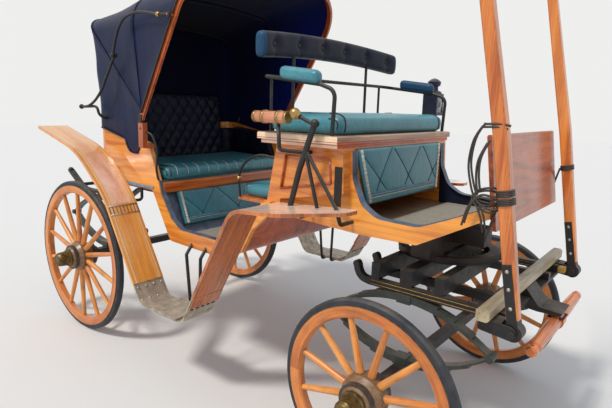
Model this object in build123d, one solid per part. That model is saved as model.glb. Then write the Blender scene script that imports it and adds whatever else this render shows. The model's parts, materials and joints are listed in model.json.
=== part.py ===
# Open carriage with a folding hood over the rear seat, a driver's box seat in front,
# a turning fore-carriage on elliptic springs and a pair of shafts raised for parking.
# Millimetres. X runs forward from the rear axle, Y to the carriage's left and Z up
# from the ground. At the end every piece is moved so that X = 0 is mid-length.

from build123d import *
import os
from math import asin, atan2, cos, degrees, radians, sin, sqrt, tan

os.makedirs("parts", exist_ok=True)

# Running gear
rear_wheel_d = 1000
front_wheel_d = 800
wheelbase = 2250
track = 1400
rear_spokes = 14
front_spokes = 12
tyre_width = 38
tyre_depth = 26
rim_plate = 4
felloe_depth = 48
felloe_width = 46
hub_radius = 95
hub_reach_in = 85
hub_reach_out = 78
cap_reach = 160
spindle_radius = 22
bearing_gap = 0.5
axle_square = 46
king_pin_radius = 15
pin_gap = 0.5

# Springs: half length, height of the eyes, lowest and highest face, distance from the middle
leaf = 8
leaf_count = 4
spring_width = 46
eye_radius = 16
rear_spring_half = 430
rear_spring_inset = 70
rear_spring_top = 890
front_spring_half = 380
front_spring_y = 400
front_spring_top = 745

# Body
body_half = 570
plank = 26
board = 18
seat_z = 1000
belt_rear_z = 1380
belt_front_z = 1285
rear_face_x = 50
corner_radius = 100
quarter_start_x = 150
floor_z = 742
sill_z = 812
box_half = body_half - 50
box_wall = 20
box_top_z = 1350
box_front_x = 1970
seat_board_rear_x = 1510
seat_board_front_x = 1972
seat_board_half = body_half - 2
seat_board_thick = 52
boot_half = body_half - 100
boot_plank = 22
boot_end_x = 2590
dash_half = boot_half - 30
dash_top_z = 1440
dash_foot_z = 1090
dash_lean = 50
dash_thick = 18
dash_foot_x = 2592

# Wings over the wheels
wing_inner_y = body_half + 50
wing_width = 190
wing_board = 16
step_plate = 8

# Hood: one pivot on the posts, leather over three bows, and irons outside the leather
hood_pivot_x = 635
hood_pivot_z = 1430
post_width = 50
hood_pin_radius = 10
bow_face = 36
leather = 4
leather_half = body_half + 58
hood_iron_y = leather_half + 16
hood_iron_thick = 8
hood_pin_slack = 3

# Fore-carriage
ring_radius = 235
ring_width = 42
ring_thick = 15
ring_gap = 0.4
lower_ring_z = 852
futchell_height = 34
futchell_width = 32
splinter_half = 545
splinter_size = 50

# Shafts and whippletree
shaft_y = 475
shaft_width = 54
shaft_depth = 50
shaft_length = 2090
shaft_pivot_x = 2722
shaft_pivot_z = 748
shaft_lean = 10.8
shaft_eye_radius = 32
shaft_pin_radius = 12
whippletree_x = 2765
whippletree_z = 650
whippletree_half = 400
whippletree_radius = 27
collar_radius = 33
trace_hole_radius = 7

# Small running gaps
side_gap = 5
soft_gap = 0.3

rear_spring_y = body_half - rear_spring_inset
rear_end_x = -rear_wheel_d / 2
front_end_x = whippletree_x + collar_radius
mid_x = (rear_end_x + front_end_x) / 2
hub_y = track / 2


def outline(rows):
    """Closed face in the XZ plane; each row is x, z and the corner's radius."""
    corners = [Vector(row[0], 0, row[1]) for row in rows]
    edges, first, last = [], None, None
    for i, row in enumerate(rows):
        corner = corners[i]
        radius = row[2] if len(row) > 2 else 0
        start = end = corner
        if radius:
            back = (corners[i - 1] - corner).normalized()
            ahead = (corners[(i + 1) % len(rows)] - corner).normalized()
            half = radians(back.get_angle(ahead)) / 2
            start = corner + back * (radius / tan(half))
            end = corner + ahead * (radius / tan(half))
            centre = corner + (back + ahead).normalized() * (radius / sin(half))
            middle = centre + (corner - centre).normalized() * radius
        if last is None:
            first = start
        elif (start - last).length > 0.001:
            edges.append(Edge.make_line(last, start))
        if radius:
            edges.append(Edge.make_three_point_arc(start, middle, end))
        last = end
    if (first - last).length > 0.001:
        edges.append(Edge.make_line(last, first))
    return Face(Wire(edges))


def board_xz(rows, y_low, y_high):
    """Flat board standing in the XZ plane between two values of Y."""
    return Part() + Solid.extrude(Pos(0, y_low, 0) * outline(rows), Vector(0, y_high - y_low, 0))


def board_xy(rows, z_low, z_high):
    """Flat board lying in the XY plane; rows are x, y and the corner's radius."""
    standing = outline(rows)
    face = Rot(-90, 0, 0) * standing
    return Part() + Solid.extrude(Pos(0, 0, z_low) * face, Vector(0, 0, z_high - z_low))


def block(x_low, x_high, y_low, y_high, z_low, z_high):
    size = Box(x_high - x_low, y_high - y_low, z_high - z_low)
    return Pos((x_low + x_high) / 2, (y_low + y_high) / 2, (z_low + z_high) / 2) * size


def rod(start, end, radius):
    """Straight round bar between two points."""
    a, b = Vector(*start), Vector(*end)
    return Plane(origin=(a + b) / 2, z_dir=b - a) * Cylinder(radius, (b - a).length)


def bent_bar(points, radius, bend):
    """Round bar through points: straight rods, and a turned bend at each corner."""
    bar = Part()
    for edge in FilletPolyline(*points, radius=bend).edges():
        start, end = edge @ 0, edge @ 1
        if edge.geom_type == GeomType.LINE:
            bar += rod(tuple(start), tuple(end), radius)
        else:
            section = Plane(origin=start, z_dir=edge % 0) * Circle(radius)
            turn_axis = Axis(edge.arc_center, (edge % 0).cross(edge % 1))
            swing = (edge % 0).get_angle(edge % 1)
            bar += revolve(section, axis=turn_axis, revolution_arc=swing)
    return bar


def bent_board(rows, thickness, y_low, y_high):
    """Board bent along a line in the XZ plane; rows are x, z and the bend's radius."""
    points = [(row[0], 0, row[1]) for row in rows]
    path = FilletPolyline(*points, radius=[row[2] for row in rows[1:-1]])
    section = Plane(origin=path @ 0, x_dir=(0, 1, 0), z_dir=path % 0) * Rectangle(y_high - y_low, thickness)
    return Pos(0, (y_low + y_high) / 2, 0) * sweep(section, path=path)


def turned(rows, axis_plane):
    """Solid of revolution; each row is the distance along the axis and the radius."""
    points = [(0, rows[0][0])] + [(row[1], row[0]) for row in rows] + [(0, rows[-1][0])]
    face = make_face(Plane.XZ * Polyline(*points, close=True))
    return axis_plane * revolve(face, axis=Axis.Z)


def across(x, y, z):
    """Plane whose axis points to the left, at a place on the carriage."""
    return Plane(origin=(x, y, z), x_dir=(1, 0, 0), z_dir=(0, 1, 0))


def both_sides(shape):
    return shape + mirror(shape, about=Plane.XZ)


nodes = {}


def keep(name, shape):
    nodes[name] = shape


# Wheels: tyre in its rim plate, felloe with spokes and hub, and the hub's irons
def wheel(name, diameter, spokes, x, side):
    radius = diameter / 2
    place = Plane(origin=(x, side * hub_y, radius), x_dir=(1, 0, 0), z_dir=(0, side, 0))
    rim_out = radius - tyre_depth - rim_plate
    felloe_in = rim_out - felloe_depth

    half = tyre_width / 2
    section = [(radius - tyre_depth, -half), (radius - 8, -half), (radius, -half + 9),
               (radius, half - 9), (radius - 8, half), (radius - tyre_depth, half)]
    tyre = revolve(make_face(Plane.XZ * Polyline(*section, close=True)), axis=Axis.Z)
    keep("tyre_" + name, place * tyre)

    # Hub rows: distance outward along the axle and radius
    hub_rows = [(-hub_reach_in, 62), (-50, 74), (-26, hub_radius), (26, hub_radius), (46, 80), (hub_reach_out, 60)]
    wood = turned(hub_rows, Plane.XY)
    spoke_in = hub_radius - 12
    spoke_out = felloe_in + 4
    length = spoke_out - spoke_in
    spoke = Plane(origin=(spoke_in + length / 2, 0, 0), z_dir=(1, 0, 0)) * Cone(17, 12.5, length)
    for k in range(spokes):
        wood += Rot(0, 0, 360 * (k + 0.5) / spokes) * spoke
    felloe = Cylinder(rim_out, felloe_width) - Cylinder(felloe_in, felloe_width)
    inner_edges = felloe.edges().filter_by(GeomType.CIRCLE).group_by(SortBy.RADIUS)[0]
    wood += chamfer(inner_edges, 8)
    wood -= Cylinder(spindle_radius + bearing_gap, 4 * hub_radius)
    keep("wheel_" + name, place * wood)

    rim = Cylinder(rim_out + rim_plate, tyre_width + 4) - Cylinder(rim_out, tyre_width + 4)
    inner_band = Pos(0, 0, -62) * (Cylinder(76, 30) - Cylinder(69, 30))
    # Cap rows: distance outward along the axle and radius
    cap_rows = [(hub_reach_out, 56), (hub_reach_out + 12, 56), (hub_reach_out + 16, 48),
                (cap_reach - 14, 44), (cap_reach, 34)]
    cap = turned(cap_rows, Plane.XY)
    outer_band = Pos(0, 0, 56) * (Cylinder(79, 24) - Cylinder(60, 24))
    irons = rim + (inner_band - wood) + (outer_band - wood) + cap
    spindle_end = hub_reach_out + 40
    irons -= Pos(0, 0, spindle_end / 2) * Cylinder(spindle_radius + 6, spindle_end)
    keep("hub_irons_" + name, place * irons)


for name, diameter, spokes, x in (("rear", rear_wheel_d, rear_spokes, 0),
                                  ("front", front_wheel_d, front_spokes, wheelbase)):
    for side_name, side in (("right", -1), ("left", 1)):
        wheel(name + "_" + side_name, diameter, spokes, x, side)


# Axles: a square bar with a round spindle, collar and nut at each end
def axle(x, z):
    bar_half = hub_y - hub_reach_in - 22
    square = block(x - axle_square / 2, x + axle_square / 2, -bar_half, bar_half,
                   z - axle_square / 2, z + axle_square / 2)
    reach = hub_y + hub_reach_out + 30
    spindle = rod((x, -reach, z), (x, reach, z), spindle_radius)
    collars = both_sides(rod((x, bar_half, z), (x, hub_y - hub_reach_in - 3, z), 42))
    nuts = both_sides(rod((x, reach - 24, z), (x, reach, z), spindle_radius + 5.5))
    return square + spindle + collars + nuts


keep("rear_axle", axle(0, rear_wheel_d / 2))
keep("front_axle", axle(wheelbase, front_wheel_d / 2))


# Elliptic springs: two stacks of leaves that meet at rolled eyes, clipped top and bottom
def leaf_stack(half_length, rise, side):
    """Leaves bowed away from the eyes, the long one inside; side is 1 up or -1 down."""
    bow = rise - leaf_count * leaf + leaf / 2
    radius = (half_length ** 2 + bow ** 2) / (2 * bow)
    stack = Part()
    for i in range(leaf_count):
        inner = radius - leaf / 2 + i * leaf
        reach = half_length * (1 - 0.2 * i)
        swing = asin(reach / (inner + leaf / 2))
        arcs = []
        for r in (inner, inner + leaf):
            arcs.append([Vector(r * sin(a), 0, side * (r * cos(a) - radius + bow)) for a in (-swing, 0, swing)])
        low, high = arcs
        edges = [Edge.make_three_point_arc(*low), Edge.make_line(low[2], high[2]),
                 Edge.make_three_point_arc(*reversed(high)), Edge.make_line(high[0], low[0])]
        stack += Solid.extrude(Face(Wire(edges)), Vector(0, spring_width, 0))
    return Pos(0, -spring_width / 2, 0) * stack


def elliptic_spring(x, y, z_low, z_high, half_length):
    middle = (z_low + z_high) / 2
    rise = (z_high - z_low) / 2
    spring = leaf_stack(half_length, rise, 1) + leaf_stack(half_length, rise, -1)
    for end in (-1, 1):
        spring += Pos(end * half_length, 0, 0) * Rot(90, 0, 0) * Cylinder(eye_radius, spring_width + 12)
    clip_high = leaf_count * leaf + 6
    for side in (-1, 1):
        spring += Pos(0, 0, side * (rise - clip_high / 2)) * Box(64, spring_width + 12, clip_high)
    return Pos(x, y, middle) * spring


rear_spring_foot = rear_wheel_d / 2 + axle_square / 2
front_spring_foot = front_wheel_d / 2 + axle_square / 2
keep("rear_springs", both_sides(elliptic_spring(0, rear_spring_y, rear_spring_foot, rear_spring_top,
                                                rear_spring_half)))
keep("front_springs", both_sides(elliptic_spring(wheelbase, front_spring_y, front_spring_foot,
                                                 front_spring_top, front_spring_half)))

# Rear irons: from a ball at the back over the spring and under the seat
iron_half = spring_width / 2 - 2
rear_iron_rows = [(rear_end_x + 20, 1012, 0), (-300, rear_spring_top + 8, 180), (270, rear_spring_top + 8, 180),
                  (430, seat_z - 8, 150), (640, seat_z - 8, 0)]
rear_iron = bent_board(rear_iron_rows, 16, rear_spring_y - iron_half, rear_spring_y + iron_half)
rear_iron += Pos(rear_end_x + 20, rear_spring_y, 1012) * Sphere(20)
cross_bar = rod((-300, -rear_spring_y, rear_spring_top + 36), (-300, rear_spring_y, rear_spring_top + 36), 12)
keep("rear_irons", both_sides(rear_iron) + cross_bar)

# Body sides: one cut plank from the rear quarter down to the sill and up to the driver's box
# Rows: x, z, corner radius
side_rows = [(quarter_start_x, belt_rear_z, 0), (545, 1302, 60), (628, belt_front_z, 8), (712, 1075, 60),
             (738, 990, 60), (826, 862, 50), (905, sill_z, 60), (1290, sill_z, 90), (1420, 885, 80),
             (1500, 1010, 60), (1545, 1064, 0), (1600, 1075, 0), (1600, 1012, 0), (1565, 990, 60),
             (1480, 915, 120), (1400, 776, 70), (1160, 727, 60), (815, 733, 45), (652, 1012, 40),
             (quarter_start_x, 1020, 0)]
keep("side_planks", both_sides(board_xz(side_rows, body_half - plank, body_half)))

# Back panel with rounded corners
back_rows = [(quarter_start_x, body_half, 0), (rear_face_x, body_half, corner_radius),
             (rear_face_x, -body_half, corner_radius), (quarter_start_x, -body_half, 0),
             (quarter_start_x, -body_half + plank, 0),
             (rear_face_x + plank, -body_half + plank, corner_radius - plank),
             (rear_face_x + plank, body_half - plank, corner_radius - plank),
             (quarter_start_x, body_half - plank, 0)]
keep("back_panel", board_xy(back_rows, seat_z, belt_rear_z))

inside_half = body_half - plank
seat_rows = [(rear_face_x + plank, inside_half, corner_radius - plank), (700, inside_half, 0),
             (700, -inside_half, 0), (rear_face_x + plank, -inside_half, corner_radius - plank)]
keep("rear_seat_board", board_xy(seat_rows, seat_z, seat_z + board))

# Cut-under: the riser below the seat, the floor and the bent panel up to the driver's box
under_rows = [(683, seat_z, 0), (800, floor_z + 9, 50), (1352, floor_z + 9, 150), (1490, 960, 120), (1600, 1009, 0)]
under = bent_board(under_rows, board, -inside_half, inside_half)
keep("cut_under_floor", under - nodes["rear_seat_board"])

rail_face = 735
rail_rows = [(700, seat_z, 0), (rail_face - 6, seat_z, 0), (rail_face, seat_z + 10, 6), (rail_face, seat_z + 54, 8),
             (rail_face - 8, seat_z + 62, 0), (700, seat_z + 62, 0)]
rail = board_xz(rail_rows, -inside_half, inside_half)
keep("rear_seat_rail", rail - nodes["side_planks"])

# Rear seat: cushion, backrest with side pads, and the fall below the rail
cushion_rows = [(150, seat_z + board + soft_gap, 0), (698, seat_z + board + soft_gap, 0), (698, seat_z + 63, 0),
                (728, seat_z + 63, 0), (728, 1120, 24), (690, 1150, 30), (150, 1150, 20)]
cushion = board_xz(cushion_rows, -inside_half + 16, inside_half - 16)
keep("rear_seat_cushion", cushion - nodes["side_planks"])
pad_foot = seat_z + board + soft_gap
back_pad_rows = [(82, pad_foot, 0), (150 - soft_gap, pad_foot, 0), (150 - soft_gap, 1152, 0), (172, 1166, 10),
                 (122, 1560, 20), (84, 1560, 12)]
back_pad_half = inside_half - 104
back_pad = board_xz(back_pad_rows, -back_pad_half, back_pad_half)
quarter_rows = [(180, 1153, 0), (600, 1153, 20), (560, 1250, 90), (400, 1330, 120), (170, 1352, 20)]
side_pads = both_sides(board_xz(quarter_rows, inside_half - 40, inside_half - soft_gap))
keep("rear_backrest", back_pad + side_pads)
fall_rows = [(713, seat_z - soft_gap, 0), (727, seat_z - soft_gap, 0), (803, 806, 0), (790, 800, 0)]
keep("rear_fall", board_xz(fall_rows, -back_pad_half - 10, back_pad_half + 10))

# Driver's box: hollow, with sloping foot, and raised frames round its panels
box_rows = [(1535, 1070, 0), (1593, box_top_z, 0), (box_front_x, box_top_z, 0), (box_front_x + 12, 1158, 0)]
box = board_xz(box_rows, -box_half, box_half)
hollow_rows = [(1535 + box_wall + 6, 1070 + box_wall, 0), (1593 + box_wall, box_top_z, 0),
               (box_front_x - box_wall, box_top_z, 0), (box_front_x - box_wall + 10, 1158 + box_wall - 5, 0)]
box -= board_xz(hollow_rows, -box_half + box_wall, box_half - box_wall)
panel_rows = [(1622, 1140, 0), (1650, 1300, 0), (1905, 1300, 0), (1914, 1195, 0)]
panel_depth = 7
box -= both_sides(board_xz(panel_rows, box_half - panel_depth, box_half + 1))
foot_rows = [(1535, 1064, 0), (1545, 1062, 0), (1600, 1073, 0), (1600, 1018, 0), (1640, 1018, 0), (1640, 1094, 0),
             (1535, 1070, 0)]
box += board_xz(foot_rows, -inside_half, inside_half)
keep("driver_box", box - nodes["side_planks"] - nodes["cut_under_floor"])

# Driver's seat: board with a moulded edge, cushion, fall
board_low = box_top_z
board_high = box_top_z + seat_board_thick
seat_board = block(seat_board_rear_x, seat_board_front_x, -seat_board_half, seat_board_half,
                   board_low + 20, board_high)
top_edges = seat_board.edges().group_by(Axis.Z)[-1]
seat_board = fillet(top_edges, 10)
seat_board += block(seat_board_rear_x + 14, seat_board_front_x - 8, -seat_board_half + 14, seat_board_half - 14,
                    board_low, board_low + 20)
keep("driver_seat_board", seat_board)
cushion_rows = [(1530, board_high + soft_gap, 0), (1955, board_high + soft_gap, 0), (1955, 1462, 30),
                (1900, 1490, 40), (1560, 1490, 30), (1530, 1460, 20)]
driver_cushion_half = seat_board_half - 36
keep("driver_seat_cushion", board_xz(cushion_rows, -driver_cushion_half, driver_cushion_half))
fall_thick = 16
fall_top = Plane(origin=(box_front_x + fall_thick / 2 + 2 * soft_gap, 0, board_low - 4), x_dir=(0, 1, 0),
                 z_dir=(0, 0, -1))
fall_foot = Plane(origin=(box_front_x + 36, 0, 1088), x_dir=(0, 1, 0), z_dir=(0, 0, -1))
fall_width = 2 * box_half - 190
keep("driver_fall", loft([fall_top * Rectangle(fall_width, fall_thick),
                          fall_foot * Rectangle(fall_width - 130, fall_thick)], ruled=True))

# Seat irons: rail round three sides of the driver's seat, with legs, and stays to the backrest
arm_y = seat_board_half - 20
rail_z = 1655
arm_points = [(1930, -arm_y, board_high), (1938, -arm_y, 1590), (1860, -arm_y, 1615), (1522, -arm_y, rail_z)]
rail_points = arm_points + [(x, -y, z) for x, y, z in reversed(arm_points)]
seat_irons = bent_bar(rail_points, 9, 45)
for y in (-arm_y + 60, arm_y - 60):
    seat_irons += rod((1522, y, board_high), (1522, y, rail_z), 7)
stay_y = 330
for y in (-stay_y, stay_y):
    seat_irons += rod((1522, y, board_high), (1522, y, 1765), 8)
keep("driver_seat_irons", seat_irons - nodes["driver_seat_board"])
pad_rows = [(1640, 1640, 0), (1858, 1618, 0), (1850, 1660, 20), (1800, 1682, 20), (1660, 1694, 20), (1638, 1670, 12)]
arm_pads = both_sides(board_xz(pad_rows, arm_y - 26, arm_y + 26))
backrest_half = body_half + 42
backrest_bow = 42
backrest_thick = 52
backrest_end_x = 1520
rear_curve = Edge.make_three_point_arc((backrest_end_x, -backrest_half, 0), (backrest_end_x - backrest_bow, 0, 0),
                                       (backrest_end_x, backrest_half, 0))
front_curve = Edge.make_three_point_arc((backrest_end_x + backrest_thick, backrest_half, 0),
                                        (backrest_end_x + backrest_thick - backrest_bow, 0, 0),
                                        (backrest_end_x + backrest_thick, -backrest_half, 0))
ends = [Edge.make_line(rear_curve @ 1, front_curve @ 0), Edge.make_line(front_curve @ 1, rear_curve @ 0)]
pad_face = Face(Wire([rear_curve, ends[0], front_curve, ends[1]]))
backrest = Part() + Solid.extrude(Pos(0, 0, 1740) * pad_face, Vector(0, 0, 122))
backrest = fillet(backrest.edges(), 14)
keep("driver_pads", arm_pads + backrest - nodes["driver_seat_irons"])

# Boot: sides with a swept top edge that climbs the driver's box, floor and dashboard
# Rows: x, z, corner radius
boot_rows = [(1601, 1012, 0), (1645, 997, 0), (2040, 980, 20), (2310, 985, 30), (boot_end_x, 1138, 0),
             (boot_end_x, 1182, 0), (2440, 1112, 200), (2310, 1058, 120), (2120, 1062, 120), (2040, 1110, 90),
             (1992, 1215, 80), (1984, 1338, 0), (box_front_x - 12, 1338, 0), (box_front_x - 12, 1172, 0),
             (1645, 1094, 0), (1645, 1018, 0), (1601, 1018, 0)]
boot_side = board_xz(boot_rows, boot_half - boot_plank, boot_half)
dash_slope = dash_lean / (dash_top_z - dash_foot_z)
dash_rows = [(dash_foot_x, dash_foot_z, 0), (dash_foot_x + dash_thick, dash_foot_z, 0),
             (dash_foot_x + dash_thick - dash_lean, dash_top_z, 8), (dash_foot_x - dash_lean, dash_top_z, 8)]
dash = board_xz(dash_rows, -dash_half, dash_half)
frame_rows = [(dash_foot_x - 8, dash_foot_z + 40, 0), (dash_foot_x + 1, dash_foot_z + 40, 0),
              (dash_foot_x + 1 - dash_slope * 60, dash_foot_z + 100, 0),
              (dash_foot_x - 8 - dash_slope * 60, dash_foot_z + 100, 0)]
dash += board_xz(frame_rows, -dash_half, dash_half)
keep("dash_board", dash)
keep("boot_sides", both_sides(boot_side) - dash - nodes["driver_box"])
floor_rows = [(1640, 1005, 0), (2040, 990, 60), (2308, 995, 60), (2640, 1182, 0)]
boot_floor = bent_board(floor_rows, 16, -boot_half + boot_plank, boot_half - boot_plank)
boot_floor -= block(boot_end_x - 90, boot_end_x + 90, -boot_half, boot_half, dash_foot_z + 52, dash_top_z)
keep("boot_floor", boot_floor - dash - nodes["driver_box"])

# Child's seat behind the driver's box, on two flat irons, with an arm each side
child_half = 290
child_rear_x = 1090
child_front_x = 1508
child_z = 1002
child_base = child_z - board
keep("child_seat_board", block(child_rear_x, child_front_x, -child_half, child_half, child_base, child_z))
child_rows = [(child_rear_x + 4, child_z + soft_gap, 0), (child_front_x - 8, child_z + soft_gap, 0),
              (child_front_x - 8, 1076, 20), (child_rear_x + 14, 1076, 24)]
keep("child_seat_cushion", board_xz(child_rows, -child_half + 20, child_half - 20))
child_arm_y = child_half + 8
child_arm = bent_bar([(1102, child_arm_y, child_base + 4), (1102, child_arm_y, 1150),
                      (1190, child_arm_y, 1248), (1400, child_arm_y, 1238)], 8, 60)
child_arm += Pos(1402, child_arm_y, 1238) * Sphere(13)
child_arm += Pos(1102, child_arm_y, 1108) * Sphere(14)
bracket = block(child_rear_x + 40, 1620, 190, 222, child_base - 8, child_base)
child_irons = both_sides(child_arm) + both_sides(bracket)
for name in ("cut_under_floor", "driver_box"):
    child_irons -= nodes[name]
keep("child_seat_irons", child_irons)

# Wings: bent boards over the wheels, joined by a step plate low between them
wing_outer_y = wing_inner_y + wing_width
# Rows: x, z, bend radius
rear_wing_rows = [(-250, 1340, 0), (235, 1222, 600), (525, 982, 500), (800, 525, 0)]
front_wing_rows = [(1312, 580, 0), (1588, 1066, 105), (2085, 1100, 0)]
step_rows = [(800, 525, 0), (862, 426, 70), (1224, 426, 60), (1312, 580, 0)]
platform_y = wing_inner_y - 70
rear_wing = bent_board(rear_wing_rows, wing_board, wing_inner_y, wing_outer_y)
front_wing = bent_board(front_wing_rows, wing_board, platform_y, wing_outer_y)
# The front wing widens to the body over the platform and narrows to a blunt nose
nose_rows = [(1200, wing_inner_y, 0), (1600, wing_inner_y, 30), (1640, platform_y, 30), (2085, platform_y, 20),
             (2085, wing_inner_y + 20, 60), (1840, wing_outer_y, 120), (1200, wing_outer_y, 0)]
front_wing &= board_xy(nose_rows, 400, 1200)
keep("wings", both_sides(rear_wing) + both_sides(front_wing))
step = bent_board(step_rows, step_plate, wing_inner_y, wing_outer_y)
tread = block(975, 1185, wing_inner_y - 4, wing_outer_y + 4, 430, 440)
keep("steps", both_sides(step + tread) - nodes["wings"])

# Wing irons: each runs from the body to the underside of a wing or step
# Rows: points x, y, z of each iron on the left side
wing_iron_radius = 9
step_iron_z = 426 - step_plate / 2 - wing_iron_radius - soft_gap
wing_mid_y = wing_inner_y + wing_width / 2
iron_rows = [
    [(230, body_half, 1100), (230, wing_mid_y, 1100), (230, wing_mid_y, 1200)],
    [(521, inside_half + 13, 1022), (521, inside_half + 13, 935), (521, wing_mid_y, 935), (521, wing_mid_y, 968)],
    [(1010, body_half - 12, 760), (1010, body_half + 36, 700), (1040, body_half + 36, step_iron_z),
     (1040, wing_inner_y + 90, step_iron_z)],
    [(1130, body_half - 12, 760), (1130, body_half + 36, 700), (1120, body_half + 36, step_iron_z),
     (1120, wing_inner_y + 90, step_iron_z)],
    [(1780, boot_half - 6, 1030), (1780, platform_y + 10, 1030), (1780, platform_y + 50, 1076)],
    [(2000, boot_half - 6, 1030), (2000, platform_y + 10, 1030), (2000, platform_y + 40, 1096)],
]
wing_irons = Part()
for row in iron_rows:
    wing_irons += bent_bar(row, wing_iron_radius, 20)
wing_irons = both_sides(wing_irons)
for name in ("wings", "steps", "side_planks", "boot_sides"):
    wing_irons -= nodes[name]
keep("wing_irons", wing_irons)

# Grab irons on the door posts
grab = bent_bar([(640, body_half + 0, 1250), (665, body_half + 38, 1250), (720, body_half + 38, 1100),
                 (705, body_half, 1085)], 7, 14)
grab_irons = both_sides(grab)

# Brake stand on the right, with its handle and knob, and the grip beside it
stand_y = -body_half - 30
stand = bent_bar([(1752, stand_y, 1080), (1800, stand_y, 1250), (1876, stand_y, 1450)], 13, 200)
stand += rod((1905, stand_y, 1090), (1832, stand_y, 1330), 8)
stand += rod((2010, stand_y, 1098), (1835, stand_y, 1335), 8)
stand += rod((1876, stand_y, 1446), (1780, stand_y - 10, 1486), 8)
stand += Pos(1776, stand_y - 11, 1490) * Sphere(24)
stand += Pos(1878, stand_y, 1452) * Sphere(19)
keep("brake_stand", stand - nodes["wings"])
grip_y = -body_half - 52
grip_rows = [(0, 24), (52, 26), (54, 29), (70, 29), (72, 26), (140, 26), (142, 29), (158, 29), (160, 26), (200, 24)]
grip = turned(grip_rows, Plane(origin=(1550, grip_y, 1472), z_dir=(1, 0, 0)))
keep("hand_grip", grip)
grip_iron = bent_bar([(1690, grip_y, 1472), (1700, grip_y, 1330), (1790, -body_half + 10, 1322),
                      (1800, -box_half + 8, 1322)], 9, 18)
grip_iron = grip_iron - grip - nodes["driver_box"] - nodes["driver_seat_board"]

# Carriage lamp on the left
lamp_x, lamp_y, lamp_z = 1812, body_half + 82, 1490
lamp_half = 46
lamp = block(lamp_x - lamp_half, lamp_x + lamp_half, lamp_y - lamp_half, lamp_y + lamp_half, lamp_z, lamp_z + 130)
lamp -= block(lamp_x - lamp_half + 5, lamp_x + lamp_half - 5, lamp_y - lamp_half + 5, lamp_y + lamp_half - 5,
              lamp_z + 8, lamp_z + 125)
window = 34
lamp -= block(lamp_x - 99, lamp_x + 99, lamp_y - window, lamp_y + window, lamp_z + 18, lamp_z + 115)
lamp -= block(lamp_x - window, lamp_x + window, lamp_y, lamp_y + 99, lamp_z + 18, lamp_z + 115)
# Crown rows: height and radius
crown_rows = [(130, 50), (142, 44), (150, 26), (172, 24), (176, 36), (200, 40), (212, 26), (220, 10)]
lamp += turned(crown_rows, Plane(origin=(lamp_x, lamp_y, lamp_z)))
foot_rows = [(-86, 12), (-70, 17), (-20, 20), (0, 30)]
lamp += turned(foot_rows, Plane(origin=(lamp_x, lamp_y, lamp_z)))
lamp += block(lamp_x - 12, lamp_x + 12, seat_board_half, lamp_y, board_low + 26, board_low + 38)
lamp += rod((lamp_x, lamp_y, board_low + 26), (lamp_x, lamp_y, lamp_z - 70), 12)
pane = lamp_half - 5.5
glass = block(lamp_x - pane, lamp_x + pane, lamp_y - pane, lamp_y + pane, lamp_z + 9, lamp_z + 124)
glass -= block(lamp_x - pane + 3, lamp_x + pane - 3, lamp_y - pane + 3, lamp_y + pane - 3, lamp_z, lamp_z + 140)
keep("carriage_lamp", lamp + glass)

# Upper part of the turntable: bolster under the boot, ring and king pin
ring_top_z = lower_ring_z + 2 * ring_thick + ring_gap
upper = block(wheelbase - 45, wheelbase + 45, -ring_radius - 60, ring_radius + 60, ring_top_z, 1010)
upper += block(2010, 2440, -48, 48, ring_top_z + 30, 1060)
upper += Pos(wheelbase, 0, lower_ring_z + ring_thick * 1.5 + ring_gap) * (
    Cylinder(ring_radius, ring_thick) - Cylinder(ring_radius - ring_width, ring_thick))
upper += rod((wheelbase, 0, front_spring_top + 26), (wheelbase, 0, ring_top_z + 20), king_pin_radius)
upper -= nodes["boot_floor"]
upper -= block(wheelbase - 2 * ring_radius, wheelbase + 2 * ring_radius, -boot_half, boot_half, 1000, 1100)
keep("upper_turntable", Part() + max(upper.solids(), key=lambda s: s.volume))

# Lower part: ring on cross bars and long bars that carry the splinter bar
futchell_low = front_spring_top
futchell_high = futchell_low + futchell_height
pin_hole = rod((wheelbase, 0, 400), (wheelbase, 0, 1000), king_pin_radius + pin_gap)
ring = Pos(wheelbase, 0, lower_ring_z + ring_thick / 2) * (
    Cylinder(ring_radius, ring_thick) - Cylinder(ring_radius - ring_width, ring_thick))
lower = ring
for dx in (-150, 150):
    lower += block(wheelbase + dx - 20, wheelbase + dx + 20, -front_spring_y - 16, front_spring_y + 16,
                   futchell_high, lower_ring_z)
lower += block(wheelbase - 28, wheelbase + 28, -front_spring_y - 16, front_spring_y + 16, futchell_high, lower_ring_z)

scroll_x = 1905
front_x = 2668
outer_rows = [(scroll_x, futchell_high + 34, 0), (scroll_x + 70, futchell_low + 17, 60),
              (front_x, futchell_low + 17, 0)]
futchells = Part()
for y in (front_spring_y, 235):
    bar = bent_board(outer_rows, futchell_height, y - futchell_width / 2, y + futchell_width / 2)
    futchells += bar
futchells = both_sides(futchells)
front_plate = block(front_x - 60, front_x, -front_spring_y - 16, front_spring_y + 16, futchell_low - 14, futchell_low)
keep("lower_turntable", lower + futchells + front_plate - pin_hole)

splinter_x = whippletree_x - 140
half_bar = splinter_size / 2
splinter = block(splinter_x - half_bar, splinter_x + half_bar, -splinter_half, splinter_half,
                 futchell_high, futchell_high + splinter_size)
splinter = chamfer(splinter.edges().filter_by(Axis.Y), 9)
keep("splinter_bar", splinter)

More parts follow.
